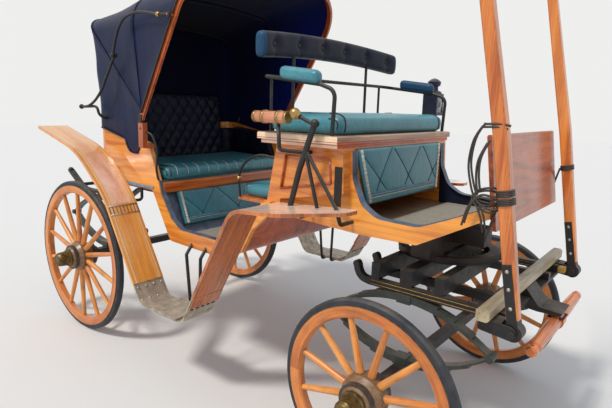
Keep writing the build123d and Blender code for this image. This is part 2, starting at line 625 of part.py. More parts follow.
# Brackets that hold the shafts' pins, hung under the ends of the splinter bar
lug_in = shaft_y - shaft_width / 2 - side_gap
lug_out = shaft_y + shaft_width / 2 + side_gap
lug = 7
lug_x = splinter_x - half_bar
lug_rows = [(lug_x, futchell_high, 0), (lug_x, 735, 12), (shaft_pivot_x, shaft_pivot_z - 26, 26),
            (shaft_pivot_x + 27, shaft_pivot_z, 24), (shaft_pivot_x, shaft_pivot_z + 26, 26),
            (lug_x + 52, futchell_high, 0)]
lugs = board_xz(lug_rows, lug_in - lug, lug_in) + board_xz(lug_rows, lug_out, lug_out + lug)
lugs += block(lug_x, shaft_pivot_x - shaft_eye_radius - 8, lug_in, lug_out, futchell_high - 16, futchell_high)
lugs += rod((shaft_pivot_x, lug_in - lug - 8, shaft_pivot_z), (shaft_pivot_x, lug_out + lug + 12, shaft_pivot_z),
            shaft_pin_radius)

# Plate that carries the whippletree's pin under the middle of the splinter bar
plate_rows = [(lug_x, futchell_high, 0), (lug_x, 700, 0), (whippletree_x - 65, 690, 20),
              (whippletree_x + 30, 694, 10), (whippletree_x + 30, 706, 0), (whippletree_x - 61, 712, 20),
              (lug_x + 48, futchell_high, 0)]
swing_plate = board_xz(plate_rows, -70, 70)
swing_plate -= nodes["lower_turntable"]
swing_plate += rod((whippletree_x, 0, whippletree_z - whippletree_radius - 14), (whippletree_x, 0, 700), 10)
keep("shaft_brackets", both_sides(lugs) + swing_plate)

# Whippletree: turned bar with a collar at the middle and ferrules at the ends
bar_rows = []
# Rows: share of the half length from the middle and radius
for share, radius in ((-1.0, 15), (-0.97, 22), (-0.9, 22), (-0.87, 17), (-0.84, 24), (-0.3, 27), (0.3, 27),
                      (0.84, 24), (0.87, 17), (0.9, 22), (0.97, 22), (1.0, 15)):
    bar_rows.append((share * whippletree_half, radius))
whippletree = turned(bar_rows, across(whippletree_x, 0, whippletree_z))
pin_bore = rod((whippletree_x, 0, 500), (whippletree_x, 0, 800), 10 + pin_gap)
for side in (-1, 1):
    y = side * 0.935 * whippletree_half
    whippletree -= rod((whippletree_x, y, 500), (whippletree_x, y, 800), trace_hole_radius)
collar = rod((whippletree_x, -26, whippletree_z), (whippletree_x, 26, whippletree_z), collar_radius)
keep("whippletree", whippletree + collar - pin_bore)

# Shafts: bent poles that taper to the tip, with steel plates and an eye at the foot
lean = radians(shaft_lean)
shaft_frame = Plane(origin=(shaft_pivot_x, shaft_y, shaft_pivot_z), x_dir=(cos(lean), 0, sin(lean)),
                    z_dir=(-sin(lean), 0, cos(lean)))
# Rows: height along the shaft, forward bow, width and depth
shaft_sections = [(46, 0, shaft_width - 12, shaft_depth - 4), (700, 16, shaft_width, shaft_depth),
                  (1500, 4, 46, 42), (shaft_length, -30, 32, 30)]
faces = []
for height, bow, width, depth in shaft_sections:
    faces.append(shaft_frame * Pos(bow, 0, height) * RectangleRounded(depth, width, 9))
shaft = loft(faces, ruled=True)
keep("shafts", both_sides(shaft))
eye = shaft_frame * (Rot(90, 0, 0) * Cylinder(shaft_eye_radius, shaft_width - 2))
shaft_foot = eye + shaft_frame * block(-20, 20, -shaft_width / 2 + 1, shaft_width / 2 - 1, 0, 46)
shaft_foot += shaft_frame * block(-17, 17, -shaft_width / 2 + 1, -shaft_width / 2 + 6, 0, 250)
shaft_foot += shaft_frame * block(-17, 17, shaft_width / 2 - 6, shaft_width / 2 - 1, 0, 250)
shaft_foot -= rod((shaft_pivot_x, shaft_y - 80, shaft_pivot_z), (shaft_pivot_x, shaft_y + 80, shaft_pivot_z),
                  shaft_pin_radius + pin_gap)
keep("shaft_irons", both_sides(shaft_foot - shaft))

# Hood posts, pivot pins and the stubs that hold the folding irons
elbow_a = (0, 1480)
post = block(hood_pivot_x - post_width / 2, hood_pivot_x + post_width / 2, inside_half, body_half, 1240,
             hood_pivot_z + post_width / 2)
post += rod((hood_pivot_x, inside_half - 12, hood_pivot_z), (hood_pivot_x, leather_half + 10, hood_pivot_z),
            hood_pin_radius)
stub_y = hood_iron_y - 16
stub = bent_bar([(165, body_half, 1288), (165, stub_y - 14, 1288), (165, stub_y, 1330),
                 (elbow_a[0], stub_y, elbow_a[1])], 7, 8)
keep("hood_posts", both_sides(post) - nodes["side_planks"])
stub += rod((elbow_a[0], stub_y, elbow_a[1]), (elbow_a[0], hood_iron_y + 14, elbow_a[1]), 6)
stub += Pos(elbow_a[0], stub_y, elbow_a[1]) * Sphere(10)


# Bows: each turns about the pin
def bow_plane(angle):
    a = radians(angle)
    return Plane(origin=(hood_pivot_x, 0, hood_pivot_z), x_dir=(0, 1, 0), z_dir=(sin(a), 0, -cos(a)))


def arch(half, reach, corner, crown, start, offset=0):
    """Points of an inverted U that starts a little above the pivot; offset moves it outward."""
    w, top, r = half + offset, reach + offset, corner + offset
    k = r * (1 - sqrt(0.5))
    points = [(-w, start), (-w, top - r), (-w + k, top - k), (-w + r, top), (0, top + crown), (w - r, top),
              (w - k, top - k), (w, top - r), (w, start)]
    return [Vector(*p) for p in points]


def arch_edges(p):
    return [Edge.make_line(p[0], p[1]), Edge.make_three_point_arc(p[1], p[2], p[3]),
            Edge.make_three_point_arc(p[3], p[4], p[5]), Edge.make_three_point_arc(p[5], p[6], p[7]),
            Edge.make_line(p[7], p[8])]


def hoop(half, reach, corner, crown, thickness, start=0):
    """U-shaped face between an outer arch and an inner one."""
    outer = arch(half, reach, corner, crown, start)
    inner = arch(half, reach, corner, crown, start, -thickness)
    back = [Edge.make_line(outer[8], inner[8])]
    flipped = arch_edges(inner)
    return Face(Wire(arch_edges(outer) + back + flipped + [Edge.make_line(inner[0], outer[0])]))


crown = 22
# Rows: name, angle from forward, reach, outer half width, thickness, corner radius
bow_rows = [("rear", 136.6, 873, body_half + 15, 12, 150), ("mid", 97.0, 705, body_half + 32, 12, 200),
            ("front", 58.4, 940, body_half + 53, 16, 280)]
for name, angle, reach, half, thickness, corner in bow_rows:
    plane = bow_plane(angle)
    face = hoop(half, reach, corner, crown, thickness)
    solid = Solid.extrude(Pos(0, 0, -bow_face / 2) * face, Vector(0, 0, bow_face))
    bow = plane * (Part() + solid)
    for side in (-1, 1):
        y = side * (half - thickness / 2)
        bow += across(hood_pivot_x, y, hood_pivot_z) * Cylinder(bow_face / 2 + 4, thickness)
    bow -= rod((hood_pivot_x, -half - 9, hood_pivot_z), (hood_pivot_x, half + 9, hood_pivot_z),
               hood_pin_radius + pin_gap)
    keep("hood_bow_" + name, bow)

# Folding irons outside the hood: two arms a side, joined at an elbow
elbow_m = (420, 1780)
elbow_reach = 620
front_lean = radians(bow_rows[2][1])
elbow_b = (hood_pivot_x + elbow_reach * cos(front_lean), hood_pivot_z + elbow_reach * sin(front_lean))
lower_path = [(elbow_a[0], elbow_a[1], 0), (190, 1516, 150), (330, 1610, 150), (elbow_m[0], elbow_m[1], 0)]
upper_path = [(elbow_m[0], elbow_m[1], 0), (490, 1915, 90), (660, 1990, 120), (elbow_b[0], elbow_b[1], 0)]


def folding_arm(path, y_low, start_eye, end_eye):
    arm = bent_board(path, 17, y_low, y_low + hood_iron_thick)
    for x, z in (start_eye, end_eye):
        arm += rod((x, y_low, z), (x, y_low + hood_iron_thick, z), 17)
    return arm


lower_arm = folding_arm(lower_path, hood_iron_y - 4, elbow_a, elbow_m)
lower_arm -= rod((elbow_a[0], hood_iron_y - 9, elbow_a[1]), (elbow_a[0], hood_iron_y + 9, elbow_a[1]), 6 + pin_gap)
lower_arm += rod((elbow_m[0], hood_iron_y - 4, elbow_m[1]), (elbow_m[0], hood_iron_y + 18, elbow_m[1]), 6)
upper_arm = folding_arm(upper_path, hood_iron_y + 5, elbow_m, elbow_b)
for (x, z), slack in ((elbow_m, pin_gap), (elbow_b, hood_pin_slack)):
    upper_arm -= rod((x, hood_iron_y, z), (x, hood_iron_y + 20, z), 6 + slack)
keep("hood_iron_lower", both_sides(lower_arm))
keep("hood_iron_upper", both_sides(upper_arm))
bow_pin = rod((elbow_b[0], leather_half - 10, elbow_b[1]), (elbow_b[0], hood_iron_y + 18, elbow_b[1]), 6)
keep("hood_bow_front", nodes["hood_bow_front"] + both_sides(bow_pin))
stubs = both_sides(stub) - nodes["side_planks"]
grab_irons = grab_irons - nodes["side_planks"] - nodes["hood_posts"]
keep("body_irons", grab_irons + grip_iron + stubs)


# Hood leather: ruled shells between the belt line and each bow
def leather_section(origin_x, origin_z, angle, half, reach, corner, rise, shift, start):
    a = radians(angle)
    plane = Plane(origin=(origin_x, 0, origin_z), x_dir=(0, 1, 0), z_dir=(sin(a), 0, -cos(a)))
    return plane * Pos(0, 0, shift) * hoop(half, reach, corner, rise, leather, start)


def leather_panel(*sections):
    return Part() + Solid.make_loft([section.outer_wire() for section in sections], True)


leather_start = 60
bow_edge = bow_face / 2 + 4
belt_x = hood_pivot_x - 50
belt_slope = degrees(atan2(belt_rear_z - 8 - belt_front_z, belt_x - rear_face_x))
belt_reach = (belt_x - rear_face_x) / cos(radians(belt_slope)) + 8
belt_section = leather_section(belt_x, belt_front_z, 180 - belt_slope, body_half + 12, belt_reach,
                               corner_radius + 20, 2, 0, 0)


def bow_section(row, lift, shift):
    return leather_section(hood_pivot_x, hood_pivot_z, row[1], leather_half, row[2] + leather + lift,
                           row[5] + leather, crown, shift, leather_start)


rear_row, mid_row, front_row = bow_rows
touch = 0.5
rear_low = bow_section(rear_row, touch, -bow_edge)
rear_high = bow_section(rear_row, touch, bow_edge)
mid_section = bow_section(mid_row, 5, 0)
keep("hood_leather_rear", leather_panel(belt_section, rear_low, rear_high))
keep("hood_leather_mid", leather_panel(rear_high, mid_section))
keep("hood_leather_front", leather_panel(mid_section, bow_section(front_row, touch, -bow_edge),
                                         bow_section(front_row, touch, -6)))

for name, shape in nodes.items():
    export_step(Pos(-mid_x, 0, 0) * shape, "parts/" + name + ".step")
print("origin shift", mid_x, "nodes", len(nodes))
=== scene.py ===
import json
from math import cos, exp, pi, radians, sin, sqrt

import bmesh
import bpy
from mathutils import Matrix, Vector
from mathutils.bvhtree import BVHTree
from mathutils.noise import noise as noise_at

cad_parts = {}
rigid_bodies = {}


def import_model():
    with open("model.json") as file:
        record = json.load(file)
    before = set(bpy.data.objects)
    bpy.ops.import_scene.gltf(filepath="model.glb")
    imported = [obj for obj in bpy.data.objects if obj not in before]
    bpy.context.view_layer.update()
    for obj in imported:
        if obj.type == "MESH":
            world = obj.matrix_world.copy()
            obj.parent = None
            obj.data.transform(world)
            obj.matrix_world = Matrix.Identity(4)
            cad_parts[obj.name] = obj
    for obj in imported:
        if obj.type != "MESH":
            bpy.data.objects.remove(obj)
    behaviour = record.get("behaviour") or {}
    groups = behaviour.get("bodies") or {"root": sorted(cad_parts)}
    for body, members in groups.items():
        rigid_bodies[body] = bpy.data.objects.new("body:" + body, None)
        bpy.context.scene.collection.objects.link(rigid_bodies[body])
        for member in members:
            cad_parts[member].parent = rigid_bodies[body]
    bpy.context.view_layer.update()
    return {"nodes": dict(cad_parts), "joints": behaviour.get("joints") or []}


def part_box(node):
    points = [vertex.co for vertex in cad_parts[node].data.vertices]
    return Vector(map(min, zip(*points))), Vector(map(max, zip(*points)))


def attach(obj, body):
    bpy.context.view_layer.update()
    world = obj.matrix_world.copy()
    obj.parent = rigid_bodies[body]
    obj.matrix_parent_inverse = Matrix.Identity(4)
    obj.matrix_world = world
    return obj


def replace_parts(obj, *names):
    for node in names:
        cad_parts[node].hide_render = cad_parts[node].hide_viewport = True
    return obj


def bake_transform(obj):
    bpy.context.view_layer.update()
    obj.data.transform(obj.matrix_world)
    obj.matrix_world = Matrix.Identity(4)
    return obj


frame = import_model()
nodes = frame["nodes"]
scene = bpy.context.scene

# Driving places, in metres. Distances along the carriage are counted from the rear axle.
axle_low, axle_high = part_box("rear_axle")
rear_axle_x = (axle_low.x + axle_high.x) / 2
joint_place = {joint["name"]: Vector(joint["pos_m"]) for joint in frame["joints"]}
hood_pivot = joint_place["hood_fold"]
shaft_foot = joint_place["shafts_lower"]
body_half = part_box("side_planks")[1].y
plank = 0.026
inside_half = body_half - plank
box_half = body_half - 0.050
shaft_y = 0.475
lengthwise, sideways, upward = Vector((1, 0, 0)), Vector((0, 1, 0)), Vector((0, 0, 1))


def at(x, y, z):
    """A point x metres ahead of the rear axle, y to the left and z above the ground."""
    return Vector((rear_axle_x + x, y, z))


# Camera: place and turn found from the wheels and the body in the photograph
camera_place = at(3.176, -2.259, 1.521)
camera_yaw = radians(38.794)
camera_pitch = radians(11.07)
camera_roll = radians(1.671)
camera_lens = 29.30
sensor_width = 36.0


def make_camera():
    data = bpy.data.cameras.new("photo camera")
    data.lens = camera_lens
    data.sensor_width = sensor_width
    data.sensor_fit = "HORIZONTAL"
    camera = bpy.data.objects.new("photo camera", data)
    scene.collection.objects.link(camera)
    forward = Vector((-sin(camera_yaw) * cos(camera_pitch), cos(camera_yaw) * cos(camera_pitch),
                      -sin(camera_pitch)))
    level_right = forward.cross(upward).normalized()
    level_up = level_right.cross(forward)
    right = level_right * cos(camera_roll) + level_up * sin(camera_roll)
    up = level_up * cos(camera_roll) - level_right * sin(camera_roll)
    turn = Matrix((right, up, -forward)).transposed()
    camera.matrix_world = Matrix.Translation(camera_place) @ turn.to_4x4()
    scene.camera = camera


# Node trees

def srgb(red, green, blue):
    """Colour from 0..255 values as seen on a screen."""
    linear = [((c / 255 + 0.055) / 1.055) ** 2.4 if c > 10 else c / 255 / 12.92 for c in (red, green, blue)]
    return (*linear, 1.0)


def darkened(colour, share):
    return (*(c * share for c in colour[:3]), 1.0)


class Pattern:
    """A node tree, with a short call for each kind of node that the finishes use."""

    def __init__(self, tree):
        self.tree = tree

    def feed(self, value, socket):
        """Gives a socket a number, a colour or another node's output."""
        if isinstance(value, bpy.types.NodeSocket):
            self.tree.links.new(value, socket)
        else:
            socket.default_value = value

    def put(self, kind, sockets, **settings):
        node = self.tree.nodes.new(kind)
        for key, value in settings.items():
            setattr(node, key, value)
        for key, value in sockets.items():
            self.feed(value, node.inputs[key])
        return node

    def use(self, group, **sockets):
        node = self.put("ShaderNodeGroup", {}, node_tree=group)
        for key, value in sockets.items():
            self.feed(value, node.inputs[key])
        return node.outputs

    def calc(self, operation, a, b=0.0, clamp=False):
        return self.put("ShaderNodeMath", {0: a, 1: b}, operation=operation, use_clamp=clamp).outputs[0]

    def times(self, a, b, clamp=False):
        return self.calc("MULTIPLY", a, b, clamp)

    def plus(self, a, b, clamp=False):
        return self.calc("ADD", a, b, clamp)

    def minus(self, a, b):
        return self.calc("SUBTRACT", a, b)

    def size(self, value):
        return self.calc("ABSOLUTE", value)

    def apart(self, a, b):
        return self.size(self.minus(a, b))

    def span(self, value, low, high, to_low=0.0, to_high=1.0):
        """Maps low..high to to_low..to_high, held at the ends."""
        sockets = {"Value": value, "From Min": low, "From Max": high, "To Min": to_low, "To Max": to_high}
        return self.put("ShaderNodeMapRange", sockets).outputs["Result"]

    def tint(self, share, first, second):
        return self.put("ShaderNodeMix", {"Factor": share, 6: first, 7: second}, data_type="RGBA").outputs[2]

    def noise(self, vector, scale, detail=3.0, rough=0.5, distort=0.0):
        sockets = {"Vector": vector, "Scale": scale, "Detail": detail, "Roughness": rough,
                   "Distortion": distort}
        return self.put("ShaderNodeTexNoise", sockets).outputs["Fac"]

    def stretched(self, vector, scale, turn=(0, 0, 0)):
        sockets = {"Vector": vector, "Rotation": turn, "Scale": scale}
        return self.put("ShaderNodeMapping", sockets).outputs["Vector"]

    def parts(self, vector):
        return self.put("ShaderNodeSeparateXYZ", {0: vector}).outputs

    def joined(self, x, y, z):
        return self.put("ShaderNodeCombineXYZ", {0: x, 1: y, 2: z}).outputs[0]

    def facing(self):
        """Which way the surface looks, as x, y and z."""
        return self.parts(self.put("ShaderNodeNewGeometry", {}).outputs["Normal"])


def group_tree(name, inputs, outputs):
    """Empty node group with named sockets: inputs are name, kind and start value after the vector."""
    tree = bpy.data.node_groups.new(name, "ShaderNodeTree")
    tree.interface.new_socket("Vector", in_out="INPUT", socket_type="NodeSocketVector")
    for label, kind, start in inputs:
        socket = tree.interface.new_socket(label, in_out="INPUT", socket_type="NodeSocket" + kind)
        socket.default_value = start
    for label, kind in outputs:
        tree.interface.new_socket(label, in_out="OUTPUT", socket_type="NodeSocket" + kind)
    given = tree.nodes.new("NodeGroupInput").outputs
    return Pattern(tree), given["Vector"], given, tree.nodes.new("NodeGroupOutput").inputs


def make_wood_figure():
    """Growth rings and fibres that run along Z of the vector."""
    group, vector, given, out = group_tree(
        "wood figure",
        [("Pale", "Color", (0.6, 0.3, 0.1, 1)), ("Dark", "Color", (0.3, 0.1, 0.03, 1)),
         ("Rings", "Float", 7.0), ("Fibres", "Float", 0.5)],
        [("Color", "Color"), ("Height", "Float")])

    def along_grain(scale, detail, rough, distort=0.0):
        return group.noise(group.stretched(vector, scale), 1.0, detail, rough, distort)

    slow = along_grain((5, 5, 0.55), 2.0, 0.5, 0.5)
    rings = group.span(group.calc("PINGPONG", group.times(slow, given["Rings"]), 0.5), 0.05, 0.5)
    fibre = along_grain((260, 260, 7), 2.0, 0.6)
    streak = along_grain((45, 45, 1.4), 3.0, 0.6)
    cloud = along_grain((3, 3, 1.2), 2.0, 0.5)
    dark = group.times(group.calc("POWER", rings, 1.6), 0.5)
    dark = group.plus(dark, group.times(group.span(fibre, 0.42, 0.72), given["Fibres"]))
    dark = group.plus(dark, group.span(streak, 0.35, 0.8, -0.15, 0.45))
    dark = group.plus(dark, group.span(cloud, 0.3, 0.7, -0.18, 0.22), True)
    group.feed(group.tint(dark, given["Pale"], given["Dark"]), out["Color"])
    group.feed(group.minus(1.0, group.times(fibre, 0.8)), out["Height"])
    return group.tree


def make_worn_edges():
    """1 on outward corners, broken up by noise."""
    group, vector, given, out = group_tree(
        "worn edges", [("Width", "Float", 0.003), ("Breaks", "Float", 40.0)], [("Mask", "Float")])
    rounded = group.put("ShaderNodeBevel", {"Radius": given["Width"]}, samples=4).outputs["Normal"]
    flat = group.put("ShaderNodeNewGeometry", {}).outputs["Normal"]
    same = group.put("ShaderNodeVectorMath", {0: rounded, 1: flat}, operation="DOT_PRODUCT").outputs["Value"]
    corner = group.span(same, 0.995, 0.90)
    broken = group.noise(vector, given["Breaks"], 4.0, 0.65)
    group.feed(group.times(corner, group.span(broken, 0.42, 0.6), True), out["Mask"])
    return group.tree


def make_settled_dust():
    """Dust that lies on what faces up, thicker in patches."""
    group, vector, given, out = group_tree(
        "settled dust", [("Amount", "Float", 0.4), ("Patches", "Float", 6.0)], [("Mask", "Float")])
    up = group.span(group.facing()[2], 0.2, 1.0)
    patch = group.span(group.noise(vector, given["Patches"], 5.0, 0.65), 0.3, 0.75)
    base = group.plus(group.times(up, 0.75), 0.15)
    group.feed(group.times(group.times(base, patch), given["Amount"], True), out["Mask"])
    return group.tree


def make_hide_grain():
    """Leather's pebbled skin, with slow patches of wear and fine creases."""
    group, vector, given, out = group_tree("hide grain", [("Pebbles", "Float", 420.0)],
                                           [("Height", "Float"), ("Patch", "Float"), ("Crease", "Float")])
    sockets = {"Vector": vector, "Scale": given["Pebbles"]}
    cells = group.put("ShaderNodeTexVoronoi", sockets).outputs["Distance"]
    patch = group.noise(vector, 5.0, 4.0, 0.6)
    crease = group.noise(group.stretched(vector, (14, 14, 5)), 1.0, 5.0, 0.6, 1.2)
    crease = group.span(group.apart(crease, 0.5), 0.0, 0.05, 1.0, 0.0)
    group.feed(group.minus(group.times(cells, 0.6), group.times(crease, 0.35)), out["Height"])
    group.feed(group.span(patch, 0.3, 0.72), out["Patch"])
    group.feed(crease, out["Crease"])
    return group.tree


def make_scratches():
    """Fine lines and small dents along one way."""
    group, vector, given, out = group_tree("scratches", [("Amount", "Float", 0.5)], [("Mask", "Float")])
    line = group.noise(group.stretched(vector, (8, 60, 90), (0.3, 0.5, 0.2)), 1.0, 5.0, 0.7, 0.3)
    spot = group.noise(vector, 9.0, 3.0, 0.6)
    mask = group.times(group.span(line, 0.60, 0.72), group.span(spot, 0.48, 0.66))
    group.feed(group.times(mask, given["Amount"], True), out["Mask"])
    return group.tree


wood_figure = make_wood_figure()
worn_edges = make_worn_edges()
settled_dust = make_settled_dust()
hide_grain = make_hide_grain()
scratches = make_scratches()

dust_colour = srgb(172, 158, 138)
bare_wood = srgb(214, 176, 138)
inlay = srgb(236, 206, 160)
grain_turn = {"X": (0, radians(-90), 0), "Y": (radians(90), 0, 0), "Z": (0, 0, 0)}


class Finish(Pattern):
    """A material with one Principled shader. Its colour is laid in turns; fixed values go on the sockets."""

    def __init__(self, name, **fixed):
        self.material = bpy.data.materials.new(name)
        self.material.use_nodes = True
        super().__init__(self.material.node_tree)
        self.shader = self.tree.nodes["Principled BSDF"].inputs
        for key, value in fixed.items():
            self.shader[key.replace("_", " ")].default_value = value
        self.place = self.put("ShaderNodeTexCoord", {}).outputs["Object"]
        self.colour = None

    def wood(self, grain, pale, dark, rings, fibres=0.5):
        return self.use(wood_figure, Vector=grain, Pale=srgb(*pale), Dark=srgb(*dark), Rings=rings,
                        Fibres=fibres)

    def board(self, along, pale, dark, rings):
        return self.wood(self.stretched(self.place, (1, 1, 1), grain_turn[along]), pale, dark, rings)

    def lay(self, share, colour):
        self.colour = self.tint(share, self.colour, colour)

    def edge(self, width, breaks):
        return self.use(worn_edges, Vector=self.place, Width=width, Breaks=breaks)["Mask"]

    def wear(self, width, breaks, share, colour):
        """Lays bare colour on the corners."""
        mask = self.edge(width, breaks)
        self.lay(self.times(mask, share), colour)
        return mask

    def scratch(self, amount, colour):
        self.lay(self.use(scratches, Vector=self.place, Amount=amount)["Mask"], colour)

    def dust(self, amount, patches):
        mask = self.use(settled_dust, Vector=self.place, Amount=amount, Patches=patches)["Mask"]
        self.lay(mask, dust_colour)
        return mask

    def done(self, rough, height, depth, strength):
        """Joins colour, roughness and bump to the shader."""
        self.feed(self.colour, self.shader["Base Color"])
        self.feed(rough, self.shader["Roughness"])
        sockets = {"Height": height, "Distance": depth, "Strength": strength}
        self.feed(self.put("ShaderNodeBump", sockets).outputs["Normal"], self.shader["Normal"])
        return self.material


def varnished(name, along, pale, dark, rings=7.0, coat=0.55):
    """Varnished board with its grain along one axis, or along X and, on the faces across it, along Y."""
    finish = Finish(name, Coat_Weight=coat, Coat_Roughness=0.16, IOR=1.5)
    wood = finish.board(along[0], pale, dark, rings)
    finish.colour = wood["Color"]
    if along == "XY":
        ends = finish.span(finish.size(finish.facing()[0]), 0.68, 0.74)
        finish.lay(ends, finish.board("Y", pale, dark, rings)["Color"])
    edge = finish.wear(0.0035, 30.0, 0.6, bare_wood)
    finish.scratch(0.45, bare_wood)
    dust = finish.dust(0.22, 5.0)
    rough = finish.span(finish.noise(finish.place, 12.0, 4.0, 0.6), 0.3, 0.7, 0.24, 0.40)
    rough = finish.plus(rough, finish.times(dust, 0.5))
    return finish.done(finish.plus(rough, finish.times(edge, 0.2), True), wood["Height"], 0.0004, 0.35)


def wing_wood(name):
    """Wings: rear ones honey with inlaid lines, scratches and a paler cloudy patch over the upper curve,
    front ones redder with their platform paler where it faces up.
    """
    finish = Finish(name, Coat_Weight=0.75, Coat_Roughness=0.12, IOR=1.5)
    x, y, _ = finish.parts(finish.place)
    ahead = finish.span(x, rear_axle_x + 0.95, rear_axle_x + 1.0)
    rear_grain = finish.stretched(finish.place, (0.10, 1.6, 0.10))
    rear = finish.wood(rear_grain, (248, 172, 74), (204, 112, 34), 5.0, 0.35)
    front_grain = finish.stretched(finish.place, (0.12, 1.8, 0.12))
    front = finish.wood(front_grain, (222, 120, 38), (136, 60, 16), 7.0, 0.7)
    side = finish.size(y)
    finish.colour = rear["Color"]
    for middle, half in ((0.640, 0.0040), (0.654, 0.0015), (0.776, 0.0015), (0.790, 0.0040)):
        finish.lay(finish.span(finish.apart(side, middle), half, half * 1.2, 0.85, 0.0), inlay)
    # Paler, cloudy patch on the upper curve between the inlays
    inner = finish.span(finish.apart(side, 0.715), 0.055, 0.070, 1.0, 0.0)
    curve = finish.times(finish.span(x, rear_axle_x + 0.16, rear_axle_x + 0.40),
                         finish.span(x, rear_axle_x + 0.555, rear_axle_x + 0.562, 1.0, 0.0))
    cloudy = finish.noise(finish.stretched(finish.place, (1, 3, 1)), 7.0, 6.0, 0.7)
    cloudy = finish.span(cloudy, 0.30, 0.55, 0.25, 0.95)
    finish.lay(finish.times(finish.times(inner, curve), cloudy), srgb(246, 202, 184))
    # Paler where the front wings face up
    up = finish.span(finish.facing()[2], 0.60, 0.85)
    patchy = finish.span(finish.noise(finish.place, 5.0, 5.0, 0.6), 0.2, 0.55, 0.75, 0.97)
    finish.lay(ahead, finish.tint(finish.times(up, patchy), front["Color"], srgb(255, 230, 210)))
    edge = finish.wear(0.0045, 26.0, 0.85, bare_wood)
    finish.scratch(0.6, srgb(240, 206, 180))
    finish.dust(0.16, 6.0)
    rough = finish.span(finish.noise(finish.place, 14.0, 4.0, 0.6), 0.3, 0.7, 0.18, 0.36)
    return finish.done(finish.plus(rough, finish.times(edge, 0.2), True), rear["Height"], 0.0004, 0.3)


def seat_board_wood(name):
    """Driver's seat board: paler ends, a weathered strip over an orange moulding, thin red lines."""
    low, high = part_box("driver_seat_board")
    middle = (low.z + high.z) / 2
    finish = Finish(name, Coat_Weight=0.45, Coat_Roughness=0.2, IOR=1.5)
    height = finish.parts(finish.place)[2]
    wood = finish.board("Y", (232, 110, 34), (168, 62, 16), 6.0)
    finish.colour = wood["Color"]
    upper = finish.span(height, middle - 0.001, middle + 0.001)
    finish.lay(finish.times(upper, 0.9), finish.board("Y", (206, 170, 136), (120, 86, 64), 9.0)["Color"])
    # Paler in cloudy patches on the faces that look sideways
    end = finish.span(finish.size(finish.facing()[1]), 0.6, 0.8)
    cloudy = finish.span(finish.noise(finish.place, 16.0, 5.0, 0.6), 0.25, 0.6, 0.7, 1.0)
    finish.lay(finish.times(end, cloudy), srgb(250, 214, 180))
    for drop in (0.0, 0.012):
        line = finish.span(finish.apart(height, middle - drop), 0.0010, 0.0018, 0.9, 0.0)
        finish.lay(line, srgb(140, 36, 18))
    finish.wear(0.0040, 26.0, 0.6, srgb(250, 226, 200))
    finish.dust(0.25, 5.0)
    rough = finish.span(finish.noise(finish.place, 12.0, 4.0, 0.6), 0.3, 0.7, 0.26, 0.5)
    return finish.done(rough, wood["Height"], 0.0004, 0.35)


def hood_cloth(name):
    """Inner cloth of the hood, with painted light: a bluer tone low on its left side, where daylight falls
    in.
    """
    finish = Finish(name, Specular_IOR_Level=0.12, Sheen_Weight=0.05)
    x, y, z = finish.parts(finish.place)
    left = finish.span(y, 0.20, 0.60)
    ahead = finish.span(x, rear_axle_x + 0.45, rear_axle_x + 0.85, 0.15, 1.0)
    low = finish.span(z, 1.55, 2.30, 1.0, 0.25)
    cloudy = finish.span(finish.noise(finish.place, 3.0, 4.0, 0.6), 0.3, 0.7)
    finish.colour = finish.tint(cloudy, srgb(7, 10, 26), srgb(10, 15, 40))
    # Painted light: the cloth turns bluer low on the left side, where daylight falls in
    finish.lay(finish.times(finish.times(left, ahead), low), srgb(8, 28, 122))
    weave = finish.noise(finish.place, 900.0, 2.0, 0.5)
    return finish.done(finish.span(cloudy, 0.0, 1.0, 0.78, 0.9), weave, 0.0002, 0.3)


def wheel_wood(name, centre, felloe_in):
    """Wheel wood: fibres run out along the spokes and round the felloes, and the hub shows end grain."""
    finish = Finish(name, Coat_Weight=0.3, Coat_Roughness=0.25, IOR=1.5)
    x, y, z = finish.parts(finish.place)
    across, rise = finish.minus(x, centre.x), finish.minus(z, centre.z)
    radius = finish.calc("SQRT", finish.plus(finish.times(across, across), finish.times(rise, rise)))
    turn = finish.calc("ARCTAN2", rise, across)
    spoke_grain = finish.joined(finish.times(turn, 0.3), y, radius)
    felloe_grain = finish.joined(radius, y, finish.times(turn, 0.45))
    spoke = finish.wood(spoke_grain, (246, 164, 76), (190, 100, 32), 5.0)
    finish.colour = spoke["Color"]
    finish.lay(finish.span(radius, felloe_in - 0.004, felloe_in),
               finish.wood(felloe_grain, (240, 150, 66), (182, 88, 26), 5.0)["Color"])
    end_grain = finish.noise(finish.place, 55.0, 5.0, 0.7)
    hub_colour = finish.tint(finish.span(end_grain, 0.35, 0.65), srgb(146, 106, 66), srgb(86, 60, 38))
    finish.lay(finish.span(radius, 0.102, 0.096), hub_colour)
    finish.wear(0.003, 35.0, 0.55, bare_wood)
    grime = finish.span(finish.noise(finish.place, 10.0, 5.0, 0.65), 0.45, 0.75)
    finish.lay(finish.times(grime, 0.45), srgb(96, 62, 34))
    finish.dust(0.3, 8.0)
    return finish.done(finish.span(end_grain, 0.2, 0.8, 0.32, 0.55), spoke["Height"], 0.0005, 0.4)


def painted_iron(name, paint, chip, rough=0.42, metal=0.15, wear=0.7):
    """Mottled paint with its chips on the corners and in pits."""
    finish = Finish(name, IOR=1.5)
    mottle = finish.noise(finish.place, 24.0, 5.0, 0.65)
    finish.colour = finish.tint(finish.span(mottle, 0.3, 0.75), srgb(*paint), darkened(srgb(*paint), 0.55))
    pits = finish.span(finish.noise(finish.place, 75.0, 5.0, 0.7), 0.62, 0.70, 0.0, 0.6)
    worn = finish.plus(finish.times(finish.edge(0.0025, 60.0), wear), pits, True)
    finish.lay(worn, srgb(*chip))
    finish.dust(0.35, 9.0)
    finish.feed(finish.times(finish.minus(1.0, worn), metal), finish.shader["Metallic"])
    return finish.done(finish.span(mottle, 0.2, 0.8, rough - 0.1, rough + 0.2), mottle, 0.0006, 0.5)


